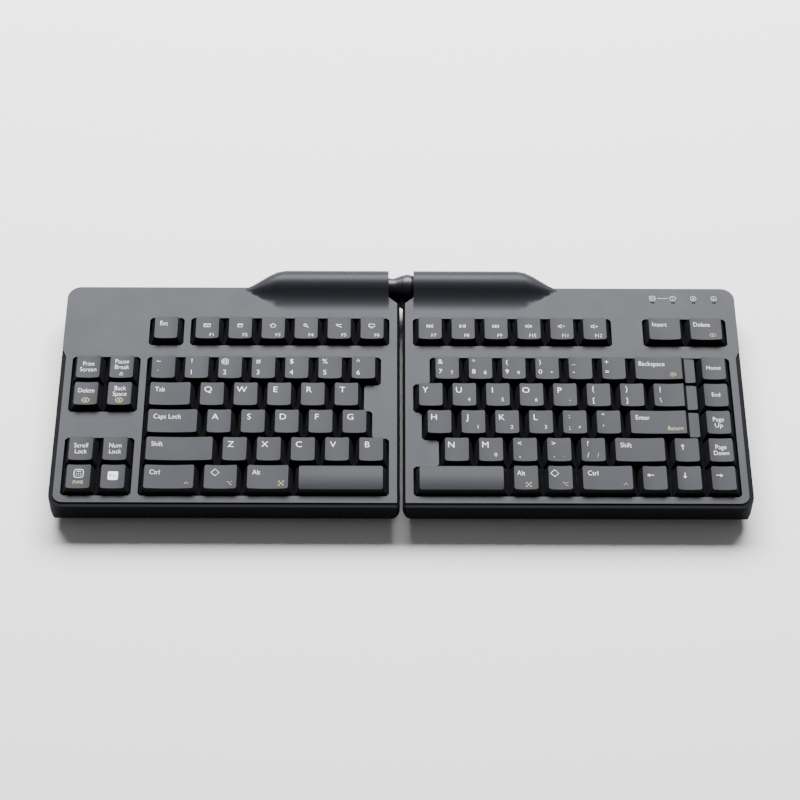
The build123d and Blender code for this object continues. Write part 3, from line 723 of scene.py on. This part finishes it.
LEFT, RIGHT = Spot.LETTER_LEFT, Spot.LETTER_RIGHT


def letters(text: str, spot: Spot, small: str = "") -> list[list[Sign]]:
    """Legends of a row of letter keys.

    Args:
        text: One letter a key.
        spot: Where the letters stand.
        small: One small figure a key, or a blank.

    Returns:
        The legends of each key.
    """
    row = [[(letter, spot, Ink.WHITE)] for letter in text]
    for key, figure in zip(row, small):
        if figure != " ":
            key.append((figure, Spot.SMALL, Ink.WHITE))
    return row


def pairs(upper: str, lower: str, small: str = "", right: bool = False) -> list[list[Sign]]:
    """Legends of keys with a shifted sign over a plain one.

    Args:
        upper: The shifted signs.
        lower: The plain signs.
        small: One small figure a key, or a blank.
        right: Whether they stand nearer the left edge, as on the right half's number row.

    Returns:
        The legends of each key.
    """
    high, low = (Spot.UPPER_RIGHT, Spot.LOWER_RIGHT) if right else (Spot.UPPER, Spot.LOWER)
    row = [[(a, high, Ink.WHITE), (b, low, Ink.WHITE)] for a, b in zip(upper, lower)]
    for key, figure in zip(row, small):
        if figure != " ":
            key.append((figure, Spot.SMALL, Ink.WHITE))
    return row


def functions(icons: str, first: int, corner: Spot) -> list[list[Sign]]:
    """Legends of a run of function keys.

    Args:
        icons: Names of their icons.
        first: Number of the first key.
        corner: Where the numbers stand.

    Returns:
        The legends of each key.
    """
    names = icons.split()
    return [
        [(f"icon {icon}", Spot.ICON, Ink.WHITE), (f"F{first + n}", corner, Ink.WHITE)]
        for n, icon in enumerate(names)
    ]


def words(word: str, mark: str = "", gold: str = "", spot: Spot = Spot.WORD) -> list[list[Sign]]:
    """Legends of one key that carries a word.

    Args:
        word: The word.
        mark: Name of a gold mark in the lower right corner, or nothing.
        gold: A gold word there, or nothing.
        spot: Where the word stands.

    Returns:
        The legends of the key, as a row of one.
    """
    key = [(word, spot, Ink.WHITE)]
    if mark:
        place = Spot.MARK_RIGHT if spot is Spot.WORD_RIGHT else Spot.MARK
        key.append((f"icon {mark}", place, Ink.GOLD))
    if gold:
        key.append((gold, Spot.GOLD_WORD, Ink.GOLD))
    return [key]


def lines(first: str, second: str = "", *more: Sign) -> list[Sign]:
    """Legends of one small key with words centred on it.

    Args:
        first: The upper word.
        second: The lower word, or nothing.
        more: Other signs on the key.

    Returns:
        The legends of the key.
    """
    high, low = Spot.TOP_LINE, Spot.LOW_LINE
    if second and more:
        high, low = Spot.HIGH_TOP_LINE, Spot.HIGH_LOW_LINE
    key = [(first, high if second or more else Spot.ONE_LINE, Ink.WHITE)]
    if second:
        key.append((second, low, Ink.WHITE))
    return key + list(more)


def icon_key(name: str, mark: str = "") -> list[list[Sign]]:
    """Legends of one key that carries an icon.

    Args:
        name: The icon's name.
        mark: Name of a gold mark in the lower right corner, or nothing.

    Returns:
        The legends of the key, as a row of one.
    """
    key = [(f"icon {name}", RIGHT, Ink.WHITE)]
    if mark:
        key.append((f"icon {mark}", Spot.MARK, Ink.GOLD))
    return [key]


LEGENDS: dict[str, list[list[Sign]]] = {
    "key_escape": words("Esc"),
    "keys_left_function_row": functions("envelope window home magnifier tool monitor", 1, Spot.CORNER),
    "keys_left_number_row": pairs("~!@#$%^", "`123456"),
    "key_tab": words("Tab"),
    "keys_left_upper_letters": letters("QWERT", LEFT),
    "key_caps_lock": words("Caps Lock"),
    "keys_left_home_letters": letters("ASDFG", LEFT),
    "key_left_shift": words("Shift"),
    "keys_left_lower_letters": letters("ZXCVB", LEFT),
    "key_left_control": words("Ctrl", mark="caret"),
    "key_left_system": icon_key("diamond", mark="slant"),
    "key_left_alt": words("Alt", mark="loops"),
    "key_left_space": [[]],
    "keys_lower_cluster": [
        [("icon calculator", Spot.SIGN, Ink.WHITE), ("PWR", Spot.UNDER, Ink.GOLD)],
        [("badge", Spot.MIDDLE, Ink.WHITE), ("Fn", Spot.BADGE_TEXT, Ink.DARK)],
        lines("Scroll", "Lock"),
        lines("Num", "Lock"),
    ],
    "keys_upper_cluster": [
        lines("Delete", "", ("icon erase", Spot.ERASE, Ink.GOLD)),
        lines("Back", "Space", ("icon erase", Spot.ERASE, Ink.GOLD)),
        lines("Print", "Screen"),
        lines("Pause", "Break", ("icon padlock", Spot.LATCH, Ink.WHITE)),
    ],
    "keys_right_function_row": functions("previous play next mute quieter louder", 7, Spot.CORNER_RIGHT),
    "key_insert": words("Insert", spot=Spot.WORD_RIGHT),
    "key_delete": words("Delete", mark="erase", spot=Spot.WORD_RIGHT),
    "keys_right_number_row": pairs("&*()_+", "7890-=", "789*  ", right=True),
    "key_backspace": words("Backspace", mark="erase", spot=Spot.WORD_RIGHT),
    "keys_right_upper_letters": letters("YUIOP", RIGHT, " 456-") + pairs("{}", "[]"),
    "key_backslash": pairs("|", "\\"),
    "keys_right_home_letters": letters("HJKL", RIGHT, " 123") + pairs(":\"", ";'", "+ "),
    "key_enter": words("Enter", gold="Return"),
    "keys_right_lower_letters": letters("NM", RIGHT, " 0") + pairs("<>?", ",./", " ./"),
    "key_right_shift": words("Shift"),
    "key_arrow_up": [[("icon up", Spot.ARROW, Ink.WHITE)]],
    "key_right_space": [[]],
    "key_right_alt": words("Alt", mark="loops", spot=Spot.WORD_RIGHT),
    "key_right_system": icon_key("diamond", mark="slant"),
    "key_right_control": words("Ctrl", mark="caret"),
    "key_arrow_left": [[("icon left", Spot.ARROW, Ink.WHITE)]],
    "key_arrow_down": [[("icon down", Spot.ARROW, Ink.WHITE)]],
    "key_arrow_right": [[("icon right", Spot.ARROW, Ink.WHITE)]],
    "keys_navigation": [lines("Page", "Down"), lines("Page", "Up"), lines("End"), lines("Home")],
}


@dataclass
class Legend:
    """Printed signs on a keycap: thin text or strokes that follow its top."""

    cap: Keycap
    ink_height: float = 0.03 * MM
    stroke: float = 0.23 * MM
    thin_stroke: float = 0.14 * MM
    thin_below: float = 3.4 * MM
    word_width: float = 0.87
    thinned: float = 0.06 * MM
    taller: float = 1.06
    body_share: float = 1.25
    short_text: int = 2
    unthinned: str = "Fn"
    badge_columns: int = 6
    letter_key_half: float = 6.59 * MM
    icon_share: float = 0.5
    badge_size: float = 5.6 * MM
    badge_round: float = 0.9 * MM

    def build(self, sign: str, spot: Spot, ink: Ink, middle: Vector) -> bpy.types.Object:
        """Models one sign on one key.

        Args:
            sign: The text, or "icon" and a name.
            spot: Where it stands.
            ink: Its colour.
            middle: The middle of the key's top.

        Returns:
            The sign as a mesh.
        """
        dx, dy, size = (value * MM for value in spot.value)
        starts_left = spot in (Spot.WORD, Spot.WORD_RIGHT)
        if starts_left or spot in (Spot.UPPER, Spot.LOWER) and self.cap.form is Form.STEPPED:
            dx += self.cap.left + self.letter_key_half
        if spot in (Spot.MARK, Spot.MARK_RIGHT, Spot.GOLD_WORD):
            dx += self.cap.right
        Bench.clear()
        if sign == "badge":
            piece = self._badge()
        elif sign.startswith("icon "):
            piece = self._strokes(sign[5:], size)
        else:
            piece = self._text(sign, size, starts_left)
        if ink is Ink.DARK:
            piece.data.transform(Matrix.Translation((0, 0, self.ink_height)))
        piece.data.transform(Matrix.Translation((dx, dy, 0)))
        for vert in piece.data.vertices:
            vert.co.z += self.ink_height - self.cap.dip(vert.co.x, vert.co.y)
        piece.data.transform(Matrix.Translation(middle))
        for polygon in piece.data.polygons:
            polygon.material_index = ink.value
        return piece

    def _text(self, sign: str, size: float, from_left: bool) -> bpy.types.Object:
        """A line of plain lettering, as a thin mesh.

        Args:
            sign: The text.
            size: Its letters' body height.
            from_left: Whether it starts at its place or is centred on it.

        Returns:
            The mesh object.
        """
        bpy.ops.object.text_add(location=(0, 0, 0))
        text = bpy.context.object
        text.data.body = sign
        text.data.size = size * self.body_share
        text.data.align_x = "LEFT" if from_left else "CENTER"
        text.data.align_y = "CENTER"
        text.data.extrude = self.ink_height
        text.data.offset = 0.0 if sign == self.unthinned else -self.thinned
        text.data.resolution_u = 3
        bpy.ops.object.convert(target="MESH")
        piece = bpy.context.object
        piece.data.materials.clear()
        if len(sign) > self.short_text:
            piece.data.transform(Matrix.Diagonal((self.word_width, self.taller, 1, 1)))
        return self._inked(piece)

    def _strokes(self, name: str, size: float) -> bpy.types.Object:
        """An icon of round-ended strokes, as a mesh.

        Args:
            name: The icon's name.
            size: Its width.

        Returns:
            The mesh object.
        """
        curve = bpy.data.curves.new(name, "CURVE")
        curve.dimensions = "3D"
        curve.bevel_depth = self.thin_stroke if size < self.thin_below else self.stroke
        curve.bevel_resolution = 0
        curve.use_fill_caps = True
        for line in ICONS[name]:
            spline = curve.splines.new("POLY")
            spline.points.add(len(line) - 1)
            for point, (x, y) in zip(spline.points, line):
                point.co = (x * size * self.icon_share, y * size * self.icon_share, 0, 1)
        piece = bpy.data.objects.new(name, curve)
        bpy.context.scene.collection.objects.link(piece)
        Bench.take(piece)
        bpy.ops.object.convert(target="MESH")
        piece = bpy.context.object
        for vert in piece.data.vertices:
            vert.co.z = max(min(vert.co.z, self.ink_height), -self.ink_height)
        return self._inked(piece)

    def _badge(self) -> bpy.types.Object:
        """A filled square with round corners, as a thin mesh."""
        bpy.ops.mesh.primitive_cube_add(size=1)
        piece = bpy.context.object
        piece.scale = (self.badge_size, self.badge_size, 2 * self.ink_height)
        bpy.ops.object.transform_apply(location=True, rotation=True, scale=True)
        Bench.edit(piece)
        Bench.pick_edges(piece, lambda edge: abs(edge.verts[0].co.z - edge.verts[1].co.z) > self.ink_height)
        bpy.ops.mesh.bevel(offset=self.badge_round, segments=4, affect="EDGES")
        for n in range(1, self.badge_columns):
            bpy.ops.mesh.select_all(action="SELECT")
            place = self.badge_size * (n / self.badge_columns - 0.5)
            bpy.ops.mesh.bisect(plane_co=(place, 0, 0), plane_no=(1, 0, 0))
        bpy.ops.object.mode_set(mode="OBJECT")
        return self._inked(piece)

    def _inked(self, piece: bpy.types.Object) -> bpy.types.Object:
        """Gives a sign the inks as its slots."""
        PALETTE.dress(piece, PALETTE.white_ink, PALETTE.gold_ink, PALETTE.dark_ink)
        return piece


PALETTE = Palette()


@dataclass
class KeyField:
    """All keycaps of the keyboard and their legends, node by node."""

    stepped: tuple[str, ...] = ("key_backspace", "key_backslash", "key_enter")
    bars: tuple[str, ...] = ("key_left_space", "key_right_space")
    masters: dict[tuple[int, Form], tuple[Keycap, bpy.types.Object]] = field(default_factory=dict)

    def form_of(self, node: str) -> Form:
        """The form of a node's caps."""
        if node in self.stepped:
            return Form.STEPPED
        return Form.BAR if node in self.bars else Form.DISHED

    def master(self, width: float, depth: float, form: Form) -> tuple[Keycap, bpy.types.Object]:
        """The master cap of one width and form, modelled when it is first asked for.

        Args:
            width: The cap's width at its skirt.
            depth: Its depth there.
            form: Its form.

        Returns:
            The cap's sizes and its object.
        """
        key = (round(width / MM * 10), form)
        if key not in self.masters:
            cap = Keycap(width, depth, form=form)
            self.masters[key] = (cap, cap.build(PALETTE))
        return self.masters[key]

    def build(self) -> None:
        """Models every key node's caps and legends, and removes the masters."""
        for node, rows in LEGENDS.items():
            self._build_node(node, rows)
        for _, piece in self.masters.values():
            bpy.data.objects.remove(piece)

    def _build_node(self, node: str, rows: list[list[Sign]]) -> None:
        """Models one node's caps and legends.

        Args:
            node: The node that they stand for.
            rows: The legends of each of its keys.
        """
        caps, signs = [], []
        boxes = loose_boxes(node)
        for (low, high), legends in zip(boxes, rows, strict=True):
            cap, piece = self.master(high.x - low.x, high.y - low.y, self.form_of(node))
            middle = Vector(((low.x + high.x) / 2, (low.y + high.y) / 2, high.z))
            caps.append(Bench.copy(piece, node, middle))
            signs += [Legend(cap).build(*legend, middle) for legend in legends]
        body = f"{node}_body"
        field_piece = Bench.join(caps, f"{node}_caps")
        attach(field_piece, body)
        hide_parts(node)
        if signs:
            print_piece = Bench.join(signs, f"{node}_legends")
            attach(print_piece, body)
        LOG.info("%s: %d caps, %d signs", node, len(caps), len(signs))


# Housings


@dataclass
class Housing:
    """The moulded pieces of both halves, with their mould edges rounded and their finishes."""

    cover_edge: float = 0.35 * MM
    case_edge: float = 0.4 * MM
    sharp: float = 34.0
    sides: tuple[str, str] = ("left", "right")
    joint_weight: float = 0.12
    joint_half: float = 7.25 * MM
    joint_front: float = 64.4 * MM
    slit_shade_outer: float = 2.45 * MM
    lit_face_lean: float = 0.35
    deck: float = 20.0 * MM
    light_pitch: float = 12.0 * MM
    mark_gap: float = 3.2 * MM
    mark_stroke: float = 0.13 * MM
    marks: tuple[str, ...] = ("battery sign", "digit sign", "capital sign", "scroll sign")
    ball: Vector = field(default_factory=lambda: Vector((4.2, 73.35, 17.5)) * MM)
    wiper_inner: float = 7.84 * MM
    wiper_outer: float = 8.05 * MM
    wiper_arc: tuple[float, float] = (62.6, 92.0)
    wiper_sides: int = 64
    wiper_steps: int = 6
    wiper_smooth: float = 50.0
    # Heights and outlines of the dark ledges in the notch: dark sheets standing in for the shade under the
    # joint.
    left_shade_ledge: tuple[float, float] = (14.2 * MM, 15.1 * MM)
    right_shade_ledge: tuple[float, float] = (16.3 * MM, 16.9 * MM)
    shade_ledge_edge: float = 0.2 * MM
    shade_ledge_smooth: float = 30.0
    left_shade_plan: tuple[tuple[float, float], ...] = (
        (-7.2, 58.4), (-7.2, 69.2), (-3.0, 69.2), (-0.3, 66.9), (-0.3, 61.2), (-1.9, 60.0), (-1.9, 58.4)
    )
    right_shade_plan: tuple[tuple[float, float], ...] = (
        (7.2, 58.4), (7.2, 66.2), (1.4, 66.2), (-0.35, 65.1), (-0.35, 58.4)
    )

    def build(self) -> None:
        """Dresses covers, cases and what they hold."""
        for side in self.sides:
            # Case zones: lighter upward faces (painted light), darker walls (painted shade), darker still
            # along the slit (painted shade), glossy joint.
            zones = (PALETTE.rim_top_lit, PALETTE.case, PALETTE.shade_black, PALETTE.hinge)
            self._refine(f"{side}_top_cover", self.cover_edge, "cover", PALETTE.cover)
            self._refine(f"{side}_base_case", self.case_edge, "case", *zones)
            # Dark ledge in the notch: painted shade under the joint.
            self._shade_ledge(side)
        self._wiper()
        self._status_marks()
        self._refine("lock_lever", self.case_edge, "case", PALETTE.hinge)
        inner = {
            "backplate": PALETTE.steel,
            "membrane": PALETTE.film,
            "dome_sheet": PALETTE.silicone,
            "key_frame": PALETTE.floor_frame,
            "screws": PALETTE.steel,
            "feet": PALETTE.rubber,
        }
        for side in self.sides:
            for part, finish in inner.items():
                PALETTE.dress(frame["nodes"][f"{side}_{part}"], finish)
        singles = {
            "ball_stud": PALETTE.steel,
            "lever_pin": PALETTE.steel,
            "socket_liner": PALETTE.nylon,
            "status_lights": PALETTE.lens,
            "controller_board": PALETTE.board,
            "cable_gland": PALETTE.rubber,
        }
        for node, finish in singles.items():
            PALETTE.dress(frame["nodes"][node], finish)

    def in_joint(self, place: Vector) -> bool:
        """Whether a place is on the neck or the collar of the ball joint."""
        return abs(place.x) < self.joint_half and place.y > self.joint_front

    def _case_zone(self, place: Vector, normal: Vector) -> int:
        """Slot of a base case's finish: a lighter copy of the black plastic on the rim's upward faces
        (painted light), a darker copy on the walls (painted shade), a darker one still along the slit
        (painted shade), and a glossy joint.

        Args:
            place: A face's middle.
            normal: Its normal.

        Returns:
            The slot.
        """
        if self.in_joint(place):
            return 3
        # Faces near the slit take the darkest copy, as painted shade between the halves.
        if abs(place.x) < self.slit_shade_outer:
            return 2
        # Upward faces take the lighter copy (painted light), the rest the darker one (painted shade).
        return 0 if normal.z > self.lit_face_lean else 1

    def _refine(self, node: str, edge: float, slot: str, *finishes: Finish) -> bpy.types.Object:
        """Rounds the edges of a copy of a moulded CAD piece and shades it smooth.

        Args:
            node: The CAD node.
            edge: Width of its mould edges' round.
            slot: Not used.
            finishes: Its finish, or one for each zone of a base case.

        Returns:
            The piece that stands for the node.
        """
        source = frame["nodes"][node]
        piece = bpy.data.objects.new(f"{node}_moulding", source.data.copy())
        bpy.context.scene.collection.objects.link(piece)
        Bench.edit(piece)
        bpy.ops.mesh.remove_doubles(threshold=MERGE)
        bpy.ops.mesh.dissolve_limited(angle_limit=math.radians(0.5))
        if len(finishes) > 1:
            # Cuts the case where the darker strip along the slit (painted shade) begins.
            sign = -1 if node.startswith("left") else 1
            bpy.ops.mesh.select_all(action="SELECT")
            bpy.ops.mesh.bisect(plane_co=(sign * self.slit_shade_outer, 0, 0), plane_no=(1, 0, 0))
        bpy.ops.object.mode_set(mode="OBJECT")
        Bench.weigh_edges(piece, self.sharp, lambda co: self.joint_weight if self.in_joint(co) else 1.0)
        Bench.bevel(piece, edge, 2)
        Bench.smooth(piece, self.sharp)
        PALETTE.dress(piece, *finishes)
        if len(finishes) > 1:
            for polygon in piece.data.polygons:
                polygon.material_index = self._case_zone(polygon.center, polygon.normal)
        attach(piece, source["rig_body"])
        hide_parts(node)
        LOG.info("%s: %d faces", piece.name, len(piece.data.polygons))
        return piece

    def _status_marks(self) -> bpy.types.Object:
        """Prints the small signs behind the status lights, and the dash between the first two.

        Returns:
            The signs.
        """
        level = Keycap(self.light_pitch, self.light_pitch, form=Form.BAR, crown=0.0)
        legend = Legend(level, thin_stroke=self.mark_stroke)
        boxes = loose_boxes("status_lights")
        signs = []
        for name, (low, high) in zip(self.marks, boxes, strict=True):
            middle = Vector(((low.x + high.x) / 2, (low.y + high.y) / 2 + self.mark_gap, self.deck))
            signs.append(legend.build(f"icon {name}", Spot.PLAIN, Ink.WHITE, middle))
        first, second = boxes[:2]
        line = (first[0].y + first[1].y) / 2 + self.mark_gap
        dash = Vector(((first[1].x + second[0].x) / 2, line, self.deck))
        signs.append(legend.build("icon dash", Spot.PLAIN, Ink.WHITE, dash))
        marks = Bench.join(signs, "status_marks")
        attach(marks, "right_half")
        return marks

    def _wiper(self) -> bpy.types.Object:
        """Turns the thin dark lip that closes the running gap between the collar and the neck's cup.

        Returns:
            The lip, a zone of a sphere about the ball's centre.
        """
        Bench.clear()
        low, high = (math.radians(angle) for angle in self.wiper_arc)
        steps = [low + (high - low) * n / self.wiper_steps for n in range(self.wiper_steps + 1)]
        ring = [(self.wiper_outer, turn) for turn in steps]
        ring += [(self.wiper_inner, turn) for turn in reversed(steps)]
        mesh = bmesh.new()
        verts = [mesh.verts.new((-reach * math.cos(turn), reach * math.sin(turn), 0)) for reach, turn in ring]
        mesh.faces.new(verts)
        turned = bmesh.ops.spin(
            mesh,
            geom=mesh.faces[:],
            axis=(1, 0, 0),
            cent=(0, 0, 0),
            steps=self.wiper_sides,
            angle=2 * math.pi,
        )
        ends = [item for item in turned["geom_last"] if isinstance(item, bmesh.types.BMFace)]
        bmesh.ops.delete(mesh, geom=ends, context="FACES_ONLY")
        bmesh.ops.remove_doubles(mesh, verts=mesh.verts, dist=MERGE)
        inner = [face for face in mesh.faces if len(face.verts) > 4]
        bmesh.ops.delete(mesh, geom=inner, context="FACES_ONLY")
        bmesh.ops.recalc_face_normals(mesh, faces=mesh.faces)
        mesh.transform(Matrix.Translation(self.ball))
        data = bpy.data.meshes.new("joint_wiper_lip")
        mesh.to_mesh(data)
        mesh.free()
        lip = bpy.data.objects.new("joint_wiper_lip", data)
        bpy.context.scene.collection.objects.link(lip)
        Bench.smooth(lip, self.wiper_smooth)
        PALETTE.dress(lip, PALETTE.hinge)
        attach(lip, "right_half")
        return lip

    def _shade_ledge(self, side: str) -> bpy.types.Object:
        """Models the dark ledge at the foot of the notch, a dark sheet that stands in for the shade under the
        joint, clear of the other half's at every tent.

        Args:
            side: The half that carries it.

        Returns:
            The ledge.
        """
        left = side == "left"
        base, top = self.left_shade_ledge if left else self.right_shade_ledge
        plan = self.left_shade_plan if left else self.right_shade_plan
        Bench.clear()
        mesh = bmesh.new()
        foot = mesh.faces.new([mesh.verts.new((x * MM, y * MM, base)) for x, y in plan])
        raised = bmesh.ops.extrude_face_region(mesh, geom=[foot])["geom"]
        tops = [item for item in raised if isinstance(item, bmesh.types.BMVert)]
        bmesh.ops.translate(mesh, verts=tops, vec=(0, 0, top - base))
        bmesh.ops.recalc_face_normals(mesh, faces=mesh.faces)
        data = bpy.data.meshes.new(f"{side}_notch_shade_ledge")
        mesh.to_mesh(data)
        mesh.free()
        shade_sheet = bpy.data.objects.new(f"{side}_notch_shade_ledge", data)
        bpy.context.scene.collection.objects.link(shade_sheet)
        Bench.bevel(shade_sheet, self.shade_ledge_edge, 2, self.shade_ledge_smooth)
        Bench.smooth(shade_sheet, self.shade_ledge_smooth)
        # Darkest black, as painted shade under the joint.
        PALETTE.dress(shade_sheet, PALETTE.shade_black)
        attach(shade_sheet, f"{side}_half")
        return shade_sheet


# Studio


@dataclass
class Studio:
    """Pale floor, soft lights and the camera at the photograph's angle."""

    target: Vector = field(default_factory=lambda: Vector((-0.687, -13.654, 24.5)) * MM)
    distance: float = 1404.28 * MM
    elevation: float = 53.745
    roll: float = 0.51
    yaw: float = -0.432
    focal_pixels: float = 2480.13
    sensor: float = 36.0
    floor_size: float = 6.0
    fill: float = 0.16
    power: float = 150.0
    place: Vector = field(default_factory=lambda: Vector((0, 1.2, 1.3)))
    width: float = 2.0
    height: float = 0.95

    def build(self) -> None:
        """Sets up the floor, lights and camera."""
        self._camera()
        self._floor()
        self._lights()

    def _camera(self) -> None:
        """Places the camera as it was fitted to the key tops' corners."""
        turn = Matrix.Rotation(math.radians(self.yaw), 3, "Z")
        tilt = math.radians(self.elevation)
        forward = turn @ Vector((0, math.cos(tilt), -math.sin(tilt)))
        right = turn @ Vector((1, 0, 0))
        up = right.cross(forward)
        lean = math.radians(self.roll)
        right, up = (
            math.cos(lean) * right + math.sin(lean) * up,
            math.cos(lean) * up - math.sin(lean) * right,
        )
        place = self.target - forward * self.distance
        axes = Matrix((right, up, -forward)).transposed().to_4x4()
        data = bpy.data.cameras.new("camera")
        data.sensor_width = self.sensor
        data.lens = self.focal_pixels * self.sensor / IMAGE_SIDE
        camera = bpy.data.objects.new("camera", data)
        camera.matrix_world = Matrix.Translation(place) @ axes
        bpy.context.scene.collection.objects.link(camera)
        bpy.context.scene.camera = camera

    def _floor(self) -> None:
        """Lays the pale floor."""
        Bench.clear()
        bpy.ops.mesh.primitive_plane_add(size=self.floor_size, location=(0, 0, 0))
        floor = bpy.context.object
        floor.name = "studio_floor"
        pale = Finish("studio_paper", (0.93, 0.93, 0.93), 0.9, mottle=0.005, grain_depth=0.001 * MM)
        PALETTE.dress(floor, pale)

    def _lights(self) -> None:
        """Hangs the soft lights and sets the surrounding white."""
        world = bpy.data.worlds.new("studio")
        world.use_nodes = True
        background = world.node_tree.nodes["Background"]
        background.inputs["Color"].default_value = (1, 1, 1, 1)
        background.inputs["Strength"].default_value = self.fill
        bpy.context.scene.world = world
        self._softbox("rear_softbox", self.place, self.width, self.height, self.power)

    def _softbox(self, name: str, place: Vector, width: float, height: float, power: float) -> None:
        """Hangs one soft light that points at the keyboard.

        Args:
            name: Its name.
            place: Where it hangs.
            width: Its width.
            height: Its height.
            power: Its power in watts.
        """
        data = bpy.data.lights.new(name, "AREA")
        data.shape = "RECTANGLE"
        data.size = width
        data.size_y = height
        data.energy = power
        lamp = bpy.data.objects.new(name, data)
        lamp.location = place
        lamp.rotation_euler = (-place).to_track_quat("-Z", "Y").to_euler()
        bpy.context.scene.collection.objects.link(lamp)


def main() -> None:
    """Builds the whole keyboard and its studio."""
    logging.basicConfig(level=logging.INFO, format="%(message)s")
    Studio().build()
    KeyField().build()
    Housing().build()
    Bench.clear()


if __name__ == "__main__":
    main()
